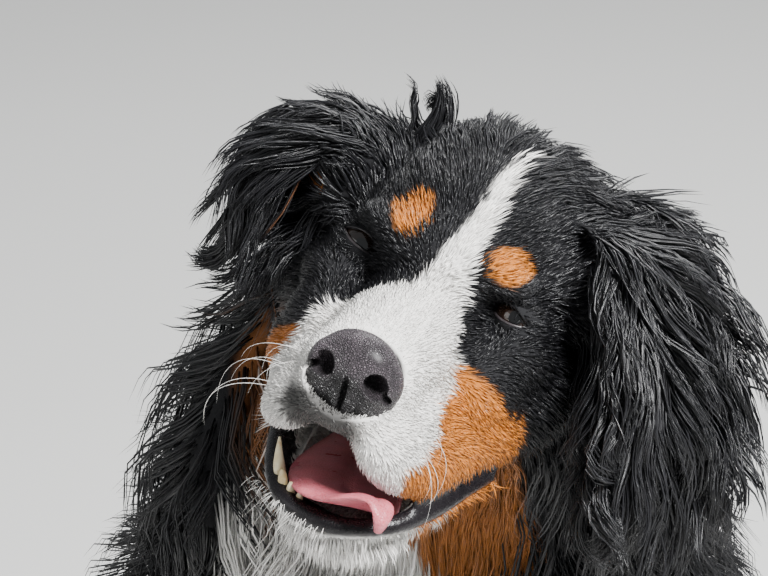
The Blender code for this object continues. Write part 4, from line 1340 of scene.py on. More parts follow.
    def mesh(
        self, kind: Growth, name: str, paths: Array, normals: Array, uvs: Array, color: Array,
        rng: Any,
    ) -> bpy.types.Object:
        """Builds one mesh of tufts.

        Args:
            kind: What the hair is like.
            name: The new object's name.
            paths: The points of each hair.
            normals: The skin's normals at the roots.
            uvs: The roots' places on the unwrap.
            color: The colour of each hair.
            rng: The source of what is left to chance.

        Returns:
            The new object.
        """
        count, rings = len(paths), kind.rings
        ways = unit(np.gradient(paths, axis=1))
        side = unit(np.cross(ways, normals[:, None] + 0.15 * rng.normal(size=(count, 1, 3))))
        up = np.cross(side, ways)
        share = np.arange(rings) / rings
        taper = np.interp(share, (0, 0.25, 0.6, 1.0), (0.75, 1.0, 0.85, 0.25))
        width = kind.width * rng.uniform(0.7, 1.3, (count, 1)) * taper
        corners = ((-0.5, -0.35), (0.5, -0.35), (0.0, 0.75))
        rows = []
        for a, b in corners:
            rows.append(
                paths[:, :rings] + side[:, :rings] * (a * width)[:, :, None]
                + up[:, :rings] * (b * kind.flat * width)[:, :, None]
            )
        body = np.stack(rows, 2).reshape(count, rings * 3, 3)
        points = np.concatenate([body, paths[:, rings:]], 1)
        per = rings * 3 + 1
        faces = [(0, 2, 1)]
        for r in range(rings - 1):
            for k in range(3):
                n = (k + 1) % 3
                faces.append((3 * r + k, 3 * r + n, 3 * r + 3 + n, 3 * r + 3 + k))
        last = 3 * (rings - 1)
        faces += [(last + k, last + (k + 1) % 3, per - 1) for k in range(3)]
        sizes = np.array([len(f) for f in faces])
        flat = np.concatenate([np.array(f) for f in faces])
        loops = (flat[None] + per * np.arange(count)[:, None]).ravel()
        starts = np.concatenate([[0], sizes.cumsum()[:-1]])
        starts = (starts[None] + len(flat) * np.arange(count)[:, None]).ravel()
        mesh = bpy.data.meshes.new(name)
        mesh.vertices.add(count * per)
        mesh.vertices.foreach_set("co", points.ravel())
        mesh.loops.add(len(loops))
        mesh.loops.foreach_set("vertex_index", loops)
        mesh.polygons.add(len(starts))
        mesh.polygons.foreach_set("loop_start", starts)
        mesh.polygons.foreach_set("use_smooth", np.ones(len(starts), bool))
        mesh.update(calc_edges=True)
        along = np.append(np.repeat(share, 3), 1.0)
        across = np.append(np.tile([0.0, 1.0, 0.5], rings), 0.5)
        spot = np.stack([across - 0.5, along - 0.5], 1) * self.bake_patch
        bake = uvs[:, None] + spot[None]
        turn = rng.uniform(0, 40, (count, 1))
        strand = np.stack([across[None] + turn, np.repeat(along[None], count, 0)], 2)
        for layer_name, values in (("OFBake", bake), ("Strand", strand)):
            layer = mesh.uv_layers.new(name=layer_name)
            layer.data.foreach_set("uv", values.reshape(-1, 2)[loops].ravel())
        # Painted shade: each hair is darker at its root, where the coat around it shades it, and a
        # little lighter towards its tip.
        painted_shade = np.interp(along, (0, 0.35, 1.0), (0.55, 0.95, 1.12))[None, :, None]
        Bench.tint(mesh, "Fur", (color[:, None] * painted_shade).reshape(-1, 3))
        return Bench.add(name, mesh)


class Wire:
    """A socket of a material, with the arithmetic that adds Math nodes."""

    def __init__(self, tree: bpy.types.NodeTree, socket: bpy.types.NodeSocket) -> None:
        """Keeps the socket and its tree."""
        self.tree = tree
        self.socket = socket

    def math(self, operation: str, *values: Any) -> "Wire":
        """Adds one Math node.

        Args:
            operation: The node's operation.
            values: Its inputs, each a Wire or a number.

        Returns:
            The result.
        """
        node = self.tree.nodes.new("ShaderNodeMath")
        node.operation = operation
        for socket, value in zip(node.inputs, values):
            if isinstance(value, Wire):
                self.tree.links.new(value.socket, socket)
            else:
                socket.default_value = value
        return Wire(self.tree, node.outputs[0])

    def __add__(self, other: Any) -> "Wire":
        """self + other."""
        return self.math("ADD", self, other)

    def __sub__(self, other: Any) -> "Wire":
        """self - other."""
        return self.math("SUBTRACT", self, other)

    def __rsub__(self, other: Any) -> "Wire":
        """other - self."""
        return self.math("SUBTRACT", other, self)

    def __mul__(self, other: Any) -> "Wire":
        """self * other."""
        return self.math("MULTIPLY", self, other)

    def __pow__(self, other: Any) -> "Wire":
        """self ** other."""
        return self.math("POWER", self, other)

    __radd__ = __add__
    __rmul__ = __mul__

    def step(self, low: float, high: float) -> "Wire":
        """0 below low, 1 above high and smooth between them."""
        node = self.tree.nodes.new("ShaderNodeMapRange")
        node.interpolation_type = "SMOOTHSTEP"
        self.tree.links.new(self.socket, node.inputs["Value"])
        node.inputs["From Min"].default_value = low
        node.inputs["From Max"].default_value = high
        return Wire(self.tree, node.outputs["Result"])


class Shader:
    """One material while it is made."""

    def __init__(self, name: str) -> None:
        """Adds a material with its Principled shader."""
        self.material = bpy.data.materials.new(name)
        self.material.use_nodes = True
        self.tree = self.material.node_tree
        self.principled = self.tree.nodes["Principled BSDF"]

    def put(self, socket: bpy.types.NodeSocket, value: Any) -> None:
        """Links a Wire to a socket, or sets its value."""
        if isinstance(value, Wire):
            self.tree.links.new(value.socket, socket)
        elif isinstance(value, tuple) and len(value) == 3 and socket.type == "RGBA":
            socket.default_value = (*value, 1.0)
        else:
            socket.default_value = value

    def node(
        self, kind: str, settings: Optional[dict] = None, output: Any = 0, **sockets: Any
    ) -> Wire:
        """Adds a node.

        Args:
            kind: Its type, without the prefix.
            settings: Its own settings, which are set first.
            output: The name or number of the wanted output.
            sockets: The values or links of its sockets, spaces written as underscores.

        Returns:
            The wanted output.
        """
        node = self.tree.nodes.new("ShaderNode" + kind)
        for key, value in (settings or {}).items():
            setattr(node, key, value)
        for key, value in sockets.items():
            self.put(node.inputs[key.replace("_", " ")], value)
        return Wire(self.tree, node.outputs[output])

    def mix(self, share: Any, first: Any, second: Any, blend: str = "MIX") -> Wire:
        """Mixes two colours.

        Args:
            share: How much of the second, a Wire or a number.
            first: The first colour.
            second: The second colour.
            blend: The way of mixing.

        Returns:
            The mixed colour.
        """
        node = self.tree.nodes.new("ShaderNodeMix")
        node.data_type = "RGBA"
        node.blend_type = blend
        for index, value in ((0, share), (6, first), (7, second)):
            self.put(node.inputs[index], value)
        return Wire(self.tree, node.outputs[2])

    def place(self) -> Wire:
        """The place on the object, in metres."""
        return self.node("TexCoord", output="Object")

    def colour(self, name: str) -> Wire:
        """A colour that is stored on the mesh."""
        return self.node("VertexColor", {"layer_name": name}, "Color")

    def toned(self, name: str, tone: Wire) -> Wire:
        """A stored colour, made lighter or darker by a tone."""
        grey = self.node("CombineColor", None, 0, Red=tone, Green=tone, Blue=tone)
        return self.mix(1.0, self.colour(name), grey, "MULTIPLY")

    def noise(self, where: Wire, scale: float, detail: float = 3.0) -> Wire:
        """Cloudy noise from 0 to 1."""
        return self.node("TexNoise", None, "Fac", Vector=where, Scale=scale, Detail=detail)

    def bump(self, height: Wire, distance: float, strength: float = 1.0) -> Wire:
        """A bump of that height in metres."""
        return self.node(
            "Bump", None, "Normal", Height=height, Distance=distance, Strength=strength
        )

    def done(self, **sockets: Any) -> bpy.types.Material:
        """Sets the sockets of the Principled shader, and gives back the material."""
        for key, value in sockets.items():
            self.put(self.principled.inputs[key.replace("_", " ")], value)
        return self.material


@dataclass(frozen=True)
class FurFinish:
    """Glossy hair: the colour of its tuft, with fine streaks along it."""

    name: str = "fur"
    roughness: float = 0.36
    streaks: float = 5.0
    contrast: float = 0.60
    relief: float = 0.0006

    def make(self) -> bpy.types.Material:
        """The material."""
        s = Shader(self.name)
        strand = s.node("UVMap", {"uv_map": "Strand"}, "UV")
        fine = s.node("VectorMath", {"operation": "MULTIPLY"}, "Vector")
        node = fine.socket.node
        s.put(node.inputs[0], strand)
        node.inputs[1].default_value = (self.streaks, 0.9, 1.0)
        lines = s.noise(fine, 1.6, 4.0)
        tone = (lines - 0.5) * self.contrast + 1.0
        return s.done(
            Base_Color=s.toned("Fur", tone), Roughness=self.roughness, Specular_IOR_Level=0.45,
            Normal=s.bump(lines, self.relief, 0.6),
        )


@dataclass(frozen=True)
class SkinFinish:
    """Skin under the coat, wet and dark where it is bare."""

    name: str = "skin"

    def make(self) -> bpy.types.Material:
        """The material."""
        s = Shader(self.name)
        where = s.place()
        wet = s.node("SeparateColor", None, "Red", Color=s.colour("Wet"))
        grain = s.noise(where, 900.0, 4.0)
        blotch = s.noise(where, 160.0, 3.0)
        tone = (blotch - 0.5) * 0.4 + 0.72
        return s.done(
            Base_Color=s.toned("Fur", tone), Roughness=0.90 - wet * 0.62 + (grain - 0.5) * 0.12,
            Specular_IOR_Level=0.3, Normal=s.bump(grain + blotch * 0.8, 0.0006, 0.5),
        )


@dataclass(frozen=True)
class NoseFinish:
    """Moist nose leather, pebbled all over."""

    name: str = "nose_leather"

    def make(self) -> bpy.types.Material:
        """The material."""
        s = Shader(self.name)
        where = s.place()
        edges = {"feature": "DISTANCE_TO_EDGE"}
        cells = s.node("TexVoronoi", edges, "Distance", Vector=where, Scale=820.0)
        pebbles = cells.step(0.0, 0.35)
        cloud = s.noise(where, 55.0, 3.0)
        # Cloudy patches of dark leather and of a lighter purple-grey that stands for the sheen:
        # painted highlight.
        deep = s.mix(cloud.step(0.35, 0.7), (0.045, 0.035, 0.042), (0.125, 0.098, 0.115))
        # The leather is multiplied by its painted light and shade: lighter on top, darker below and
        # in the groove.
        deep = s.mix(1.0, deep, s.colour("PaintedLightAndShade"), "MULTIPLY")
        # Darker in the crevices between the pebbles: painted shade.
        color = s.mix(pebbles, s.mix(0.7, deep, (0.004, 0.003, 0.004)), deep)
        return s.done(
            Base_Color=color, Roughness=0.40 + (1 - pebbles) * 0.2, Coat_Weight=0.12,
            Coat_Roughness=0.30, Normal=s.bump(pebbles + cloud * 0.4, 0.0020, 1.0),
        )


@dataclass(frozen=True)
class TongueFinish:
    """A moist pink tongue with fine papillae."""

    name: str = "tongue_flesh"

    def make(self) -> bpy.types.Material:
        """The material."""
        s = Shader(self.name)
        where = s.place()
        dots = s.node("TexVoronoi", None, "Distance", Vector=where, Scale=1100.0)
        cloud = s.noise(where, 70.0, 3.0)
        color = s.mix(cloud.step(0.3, 0.75), (0.30, 0.045, 0.065), (0.50, 0.11, 0.14))
        color = s.mix(dots.step(0.1, 0.7) * 0.35, color, (0.62, 0.22, 0.25))
        return s.done(
            Base_Color=color, Roughness=0.30 + (cloud - 0.5) * 0.15, Subsurface_Weight=0.12,
            Subsurface_Scale=0.004, Normal=s.bump(dots + cloud * 2.0, 0.0003, 0.6),
        )


@dataclass(frozen=True)
class ToothFinish:
    """Worn ivory teeth, yellower in patches."""

    name: str = "teeth"

    def make(self) -> bpy.types.Material:
        """The material."""
        s = Shader(self.name)
        cloud = s.noise(s.place(), 210.0, 3.0)
        color = s.mix(cloud.step(0.35, 0.7), (0.80, 0.72, 0.50), (0.62, 0.47, 0.22))
        rough = 0.22 + cloud * 0.12
        return s.done(Base_Color=color, Roughness=rough, Normal=s.bump(cloud, 0.0003, 0.4))


@dataclass(frozen=True)
class ClawFinish:
    """Dark horn with fine grooves."""

    name: str = "claw_horn"

    def make(self) -> bpy.types.Material:
        """The material."""
        s = Shader(self.name)
        cloud = s.noise(s.place(), 420.0, 4.0)
        color = s.mix(cloud.step(0.3, 0.75), (0.018, 0.014, 0.012), (0.10, 0.075, 0.055))
        rough = 0.3 + cloud * 0.2
        return s.done(Base_Color=color, Roughness=rough, Normal=s.bump(cloud, 0.0004, 0.5))


@dataclass(frozen=True)
class HairFinish:
    """White whiskers, or another plain hair."""

    name: str = "whiskers"
    color: tuple[float, float, float] = (0.82, 0.80, 0.76)

    def make(self) -> bpy.types.Material:
        """The material."""
        s = Shader(self.name)
        cloud = s.noise(s.place(), 300.0, 2.0)
        dark = tuple(0.7 * c for c in self.color)
        return s.done(Base_Color=s.mix(cloud.step(0.3, 0.7), dark, self.color), Roughness=0.35)


@dataclass(frozen=True)
class EyeFinish:
    """A dark brown eye under a wet surface. The eye's own map runs from pole to pole."""

    name: str = "eye_wet"

    def make(self) -> bpy.types.Material:
        """The material."""
        s = Shader(self.name)
        spot = s.node("UVMap", {"uv_map": "UVMap"}, "UV")
        rim = s.node("SeparateXYZ", None, "Y", Vector=spot)
        plane = {"noise_dimensions": "2D"}
        rays = s.node("TexNoise", plane, "Fac", Vector=spot, Scale=26.0, Detail=4.0)
        iris = s.mix(rays, (0.007, 0.0038, 0.0026), (0.021, 0.011, 0.007))
        white = s.mix(rays, (0.022, 0.013, 0.010), (0.045, 0.028, 0.022))
        color = s.mix(rim.step(0.745, 0.775), white, (0.010, 0.006, 0.004))
        color = s.mix(rim.step(0.775, 0.80), color, iris)
        color = s.mix(rim.step(0.895, 0.905), color, (0.002, 0.002, 0.002))
        return s.done(Base_Color=color, Roughness=0.06, Coat_Weight=0.7, Coat_Roughness=0.02)


@dataclass(frozen=True)
class FloorFinish:
    """A plain pale floor."""

    name: str = "pale_floor"

    def make(self) -> bpy.types.Material:
        """The material."""
        s = Shader(self.name)
        cloud = s.noise(s.place(), 1.3, 2.0)
        color = s.mix(cloud, (0.60, 0.60, 0.585), (0.66, 0.66, 0.645))
        return s.done(Base_Color=color, Roughness=0.75)


@dataclass
class Nose:
    """The nose pad with its nostrils and the groove between them."""

    head: HeadFrame
    forms: tuple = (
        Ball((2, -93, -30), (21, 14, 16)), Ball((15.5, -92, -36), (11.5, 13, 14)),
        Ball((-11.5, -92, -36), (11.5, 13, 14)), Ball((2, -94, -43), (12, 9, 15)),
        Ball((13, -90, -44.5), (13, 12, 11)), Ball((-10, -90, -44.5), (13, 12, 11)),
    )
    holes: tuple = (
        Ball((17.5, -106, -34.5), (6.6, 14, 6.4), (0, 25, 25)),
        Ball((-13.5, -106, -34.5), (6.6, 14, 6.4), (0, -25, -25)),
        Ball((22.5, -101, -38.5), (4.5, 7, 1.8), (0, 40, 0)),
        Ball((-19.5, -99, -39.5), (6, 9, 2.2), (0, -35, 0)), Ball((2, -105, -50), (2.1, 8, 15)),
    )

    def build(self) -> bpy.types.Object:
        """Makes the pad."""
        balls = [ball for form in self.forms for ball in form.build(self.head.matrix)]
        pad = Bench.fused("nose_pad", balls, 0.0011, 8)
        for form in self.holes:
            for hole in form.build(self.head.matrix):
                Bench.cut(pad, hole)
        Bench.apply(pad, "REMESH", mode="VOXEL", voxel_size=0.0008)
        Bench.apply(pad, "SMOOTH", factor=0.5, iterations=4)
        Bench.pick(pad)
        bpy.ops.object.shade_smooth()
        self.painted_shade(pad)
        pad.data.materials.clear()
        pad.data.materials.append(NoseFinish().make())
        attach(pad, "root")
        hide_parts("nose")
        return pad

    def painted_shade(self, pad: bpy.types.Object) -> None:
        """Writes painted light and shade on the leather: lighter grey on top, where the light
        falls, and darker below and in the groove, as painted shade.
        """
        x, _, z = self.head.into(Bench.points(pad)).T
        tone = 0.16 + 0.84 * ease(-44, -24, z + 0.25 * np.abs(x - 2))
        tone = tone * (0.25 + 0.75 * ease(1.5, 5.0, np.abs(x - 2) + 6 * ease(-42, -34, z)))
        Bench.tint(pad.data, "PaintedLightAndShade", np.repeat(tone[:, None], 3, 1))


@dataclass
class Mouth:
    """The teeth of the lower jaw and the tongue that hangs over its lip."""

    head: HeadFrame
    tongue: Tube = Tube(
        (
            (2, 34, -90, 22, 5), (3, 5, -95, 25, 5), (5, -25, -98, 28, 5),
            (9, -48, -99.5, 29.5, 4.6), (14, -63, -101, 27, 4.2), (22, -74, -99, 20, 3.4),
            (30.5, -82, -92, 13, 2.6), (37, -87.5, -89.5, 9.0, 2.2), (41, -91, -92, 7.0, 1.9),
            (42.5, -92, -96.5, 5.2, 1.7), (42.5, -91.5, -102, 2.6, 1.3),
        ),
        bow=-0.16, around=28, steps=7,
    )
    canine: tuple = ((-20.5, -61, -109), (-27.5, -65, -89.5), 3.0, 1.6)
    incisors: tuple = (
        ((-16, -67, -111), (-18.5, -69.5, -103), 2.5),
        ((-10, -70, -112.5), (-11.5, -72.5, -106), 2.3), ((-4.5, -72, -113), (-5, -74, -108), 2.0),
    )

    def tooth(self, base: tuple, tip: tuple, radius: float, lean: float = 0.0) -> bpy.types.Object:
        """A pointed tooth from its root to its tip."""
        base, tip = np.array(base, float), np.array(tip, float)
        rows = []
        long = np.linalg.norm(tip - base) > 12
        narrow = (0.72, 0.42, 0.2) if long else (0.95, 0.75, 0.5)
        for share, wide in zip((0.0, 0.3, 0.6, 0.85, 1.0), (1.0, 1.02, *narrow)):
            spot = base + (tip - base) * share + np.array([0, -lean * math.sin(math.pi * share), 0])
            rows.append((*spot, radius * wide, radius * wide * 0.9))
        return Tube(rows, around=14, steps=3).build(self.head.matrix, "tooth")[0]

    def teeth(self) -> bpy.types.Object:
        """The teeth that show."""
        rows = (self.canine, *self.incisors)
        teeth = Bench.joined("lower_teeth", [self.tooth(*row) for row in rows])
        return Bench.finish(teeth, ToothFinish().make(), "coat_white")

    def build(self) -> list:
        """Makes the teeth and the tongue."""
        tongue = self.tongue.build(self.head.matrix, "tongue_body")[0]
        Bench.apply(tongue, "SUBSURF", levels=1, render_levels=1)
        self.groove(tongue)
        Bench.finish(tongue, TongueFinish().make(), "tongue_flesh")
        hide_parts("tongue")
        return [self.teeth(), tongue]

    def groove(self, tongue: bpy.types.Object) -> None:
        """Presses the long furrow into the top of the tongue."""
        mesh = tongue.data
        spots = self.head.into(Bench.points(tongue))
        path = smooth_rows(self.tongue.stations, 8)
        near, _, _ = along_path(spots, path[:, :3])
        off = spots - near
        press = np.exp(-(off[:, 0] ** 2) / 8.0) * ease(-1.0, 2.0, off[:, 2])
        spots[:, 2] -= 1.8 * press
        mesh.vertices.foreach_set("co", self.head.out(spots).ravel())
        mesh.update()


@dataclass
class Eyes:
    """The eyeballs and the wet rims of their lids."""

    head: HeadFrame
    gaze: tuple[float, float, float] = (0.14, -0.96, 0.18)
    # The dark skin of the lid rims, lifted a little lighter as painted sheen.
    rim_skin_and_sheen_color: tuple[float, float, float] = (0.030, 0.025, 0.027)

    def ball(self, eye: Eye, name: str) -> bpy.types.Object:
        """One eyeball, with its pole along the gaze."""
        bpy.ops.mesh.primitive_uv_sphere_add(segments=48, ring_count=36, radius=eye.radius)
        ball = bpy.context.active_object
        ball.name = "eyeball_" + name
        turn = Vector(self.gaze).to_track_quat("Z", "Y").to_matrix().to_4x4()
        ball.data.transform(self.head.matrix @ Matrix.Translation(eye.centre) @ turn)
        Bench.finish(ball, EyeFinish("eye_wet_" + name).make(), "eye")
        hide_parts("eye_" + name)
        return ball

    def rim(self, eye: Eye, name: str) -> bpy.types.Object:
        """The two lid edges, as one closed ring of skin over the eyeball."""
        around = np.linspace(-1, 1, 15)
        upper = [(u * eye.half, float(eye.edge(u * eye.half, True)) + 0.25) for u in around]
        lower = [(u * eye.half, float(eye.edge(u * eye.half, False)) - 0.25) for u in around]
        parts = []
        for line, thick in ((upper, 0.62), (lower, 0.72)):
            rows = []
            for u, v in line:
                w = math.sqrt(max((eye.radius + 1.15) ** 2 - u * u - v * v, 1.0))
                spot = eye.centre + np.array([u, v, w]) @ eye.frame()
                rows.append((*spot, thick, thick))
            parts += Tube(rows, around=8, steps=2, side=(0, 0, 1)).build(self.head.matrix, "rim")
        return Bench.joined("lid_rim_" + name, parts)

    def build(self) -> list:
        """Makes both eyes."""
        out = []
        for eye, name in zip(EYES, ("left", "right")):
            out.append(self.ball(eye, name))
            rim = self.rim(eye, name)
            skin = HairFinish("lid_rim_skin_" + name, self.rim_skin_and_sheen_color).make()
            out.append(Bench.finish(rim, skin, "nose_leather"))
        return out


@dataclass
class Claws:
    """The four claws of each paw."""

    head: HeadFrame

    def build(self) -> bpy.types.Object:
        """Makes all the claws."""
        place = Matrix.Translation(self.head.shift)
        parts = []
        flesh = Flesh()
        for x, y, z in flesh.paws:
            for across, ahead in flesh.toes:
                rows = (
                    (x + across, y - ahead - 0.012, z - 0.004, 0.0046, 0.0050),
                    (x + across * 1.03, y - ahead - 0.021, z - 0.007, 0.0040, 0.0046),
                    (x + across * 1.06, y - ahead - 0.029, z - 0.013, 0.0026, 0.0032),
                    (x + across * 1.10, y - ahead - 0.034, z - 0.0195, 0.0008, 0.0012),
                )
                parts += Tube(rows, around=12, steps=3, paired=True).build(place, "claw")
        claws = Bench.joined("claws", parts)
        return Bench.finish(claws, ClawFinish().make(), "nose_leather")


@dataclass
class Whiskers:
    """Long white whiskers on both lips and on the chin."""

    head: HeadFrame
    count: int = 8
    thick: float = 0.00014

    def build(self) -> bpy.types.Object:
        """Makes all the whiskers as one mesh."""
        rng = np.random.default_rng(77)
        rows = []
        for side in (1, -1):
            for k in range(self.count):
                at = np.array([side * (31 + 5 * (k % 3)), -74 + 8 * (k // 3), -46 - 8.5 * (k % 3)])
                at = at + rng.normal(size=3) * 1.5
                way = np.array([side, rng.uniform(-0.6, -0.1), rng.uniform(-0.35, 0.25)])
                bend = np.array([-side * rng.uniform(0.2, 0.8), 0.1, -rng.uniform(0.6, 1.2)])
                rows.append((at, way, rng.uniform(26, 58), bend))
            for k in range(7):
                at = np.array([2 + side * (5 + 4 * k), -74 + 3 * k, -122.0])
                at = at + rng.normal(size=3) * 1.2
                way = np.array([side * 0.25, -0.6, -1.0]) + rng.normal(size=3) * 0.15
                rows.append((at, way, rng.uniform(10, 20), np.array([0, 0.2, -0.4])))
        for share in np.linspace(0, 1, 54):
            at = np.array([-31 + 46 * share, -62 - 21 * math.sin(1.7 * share), -115.0 - 3 * share])
            way = np.array([-0.5 + 0.7 * share, -0.9, -0.7]) + rng.normal(size=3) * 0.3
            at = at + rng.normal(size=3) * 1.4
            rows.append((at, way, rng.uniform(5, 11), np.array([0, 0.2, -0.5])))
        parts = [self.hair(*row) for row in rows]
        whiskers = Bench.joined("whiskers", parts)
        return Bench.finish(whiskers, HairFinish().make(), "coat_white")

    def hair(self, at: Array, way: Array, length: float, bend: Array) -> bpy.types.Object:
        """One bent hair.

        Args:
            at: Its root in the head's frame.
            way: The way in which it starts.
            length: Its length in millimetres.
            bend: How far its tip is bent aside, as a share of its length.

        Returns:
            The hair.
        """
        way = unit(way)
        rows = []
        for share in np.linspace(0, 1, 8):
            spot = at + way * length * (share - 0.25 * share**3) + bend * length * 0.55 * share**2
            size = self.thick * 1000 * (1.0 - 0.82 * share)
            rows.append((*spot, size, size))
        tube = Tube(rows, around=5, steps=2, side=(0.3, 1, 0.2), domed=False)
        return tube.build(self.head.matrix, "hair")[0]


@dataclass
class Studio:
    """The plain floor, the soft lights and the camera."""

    head: HeadFrame
    lens: float = 166.4
    lights: tuple = (
        ("key", (1.7, -1.3, 2.7), 0.7, 320.0), ("fill", (-1.8, -1.9, 1.5), 2.0, 20.0),
        ("back", (0.5, 2.0, 2.6), 1.2, 95.0),
    )
    sky_color: tuple[float, float, float, float] = (0.93, 0.96, 1.0, 1.0)
    sky_strength: float = 0.36

    def build(self) -> None:
        """Sets up floor, camera, lights and world."""
        bpy.ops.mesh.primitive_plane_add(size=16)
        floor = bpy.context.active_object
        floor.name = "floor"
        floor.data.materials.append(FloorFinish().make())
        sight = Sight(self.head)
        middle = Vector(sight.target())
        back = Vector(sight.axes()[2])
        data = bpy.data.cameras.new("camera")
        data.lens = self.lens
        data.sensor_width = 36.0
        camera = Bench.add("camera", data)
        turn = Matrix(sight.axes().tolist()).transposed().to_4x4()
        camera.matrix_world = Matrix.Translation(middle + back * sight.distance) @ turn
        bpy.context.scene.camera = camera
        for row in self.lights:
            self.light(*row, middle)
        world = bpy.data.worlds.new("studio")
        world.use_nodes = True
        sky = world.node_tree.nodes["Background"].inputs
        sky["Color"].default_value = self.sky_color
        sky["Strength"].default_value = self.sky_strength
        bpy.context.scene.world = world

    @staticmethod
    def light(name: str, spot: tuple, size: float, power: float, target: Vector) -> None:
        """Adds one soft square light that faces the target."""
        data = bpy.data.lights.new(name, "AREA")
        data.size = size
        data.energy = power
        lamp = Bench.add(name, data)
        lamp.location = spot
        lamp.rotation_euler = (target - Vector(spot)).to_track_quat("-Z", "Y").to_euler()


CURLS: tuple = (
    (
        (-52, 62, 55), (-56, 62, 67), (-62, 62, 74.6), (-63.3, 62, 81), (-66.8, 62, 85.1),
        (-74, 62, 86.5),
    ),
    (
        (-43, 62, 57), (-41.4, 62, 73.7), (-44.6, 62, 82.5), (-49, 62, 87.4), (-55.1, 62, 88),
        (-58.3, 62, 84.4), (-58.4, 62, 80.4), (-55.6, 62, 79.3),
    ),
    ((-46, 60, 57), (-44, 60, 70), (-46.7, 60, 79.3), (-51.7, 60, 82.8)),
)
"""The curls of the crown, as points of the head's frame."""


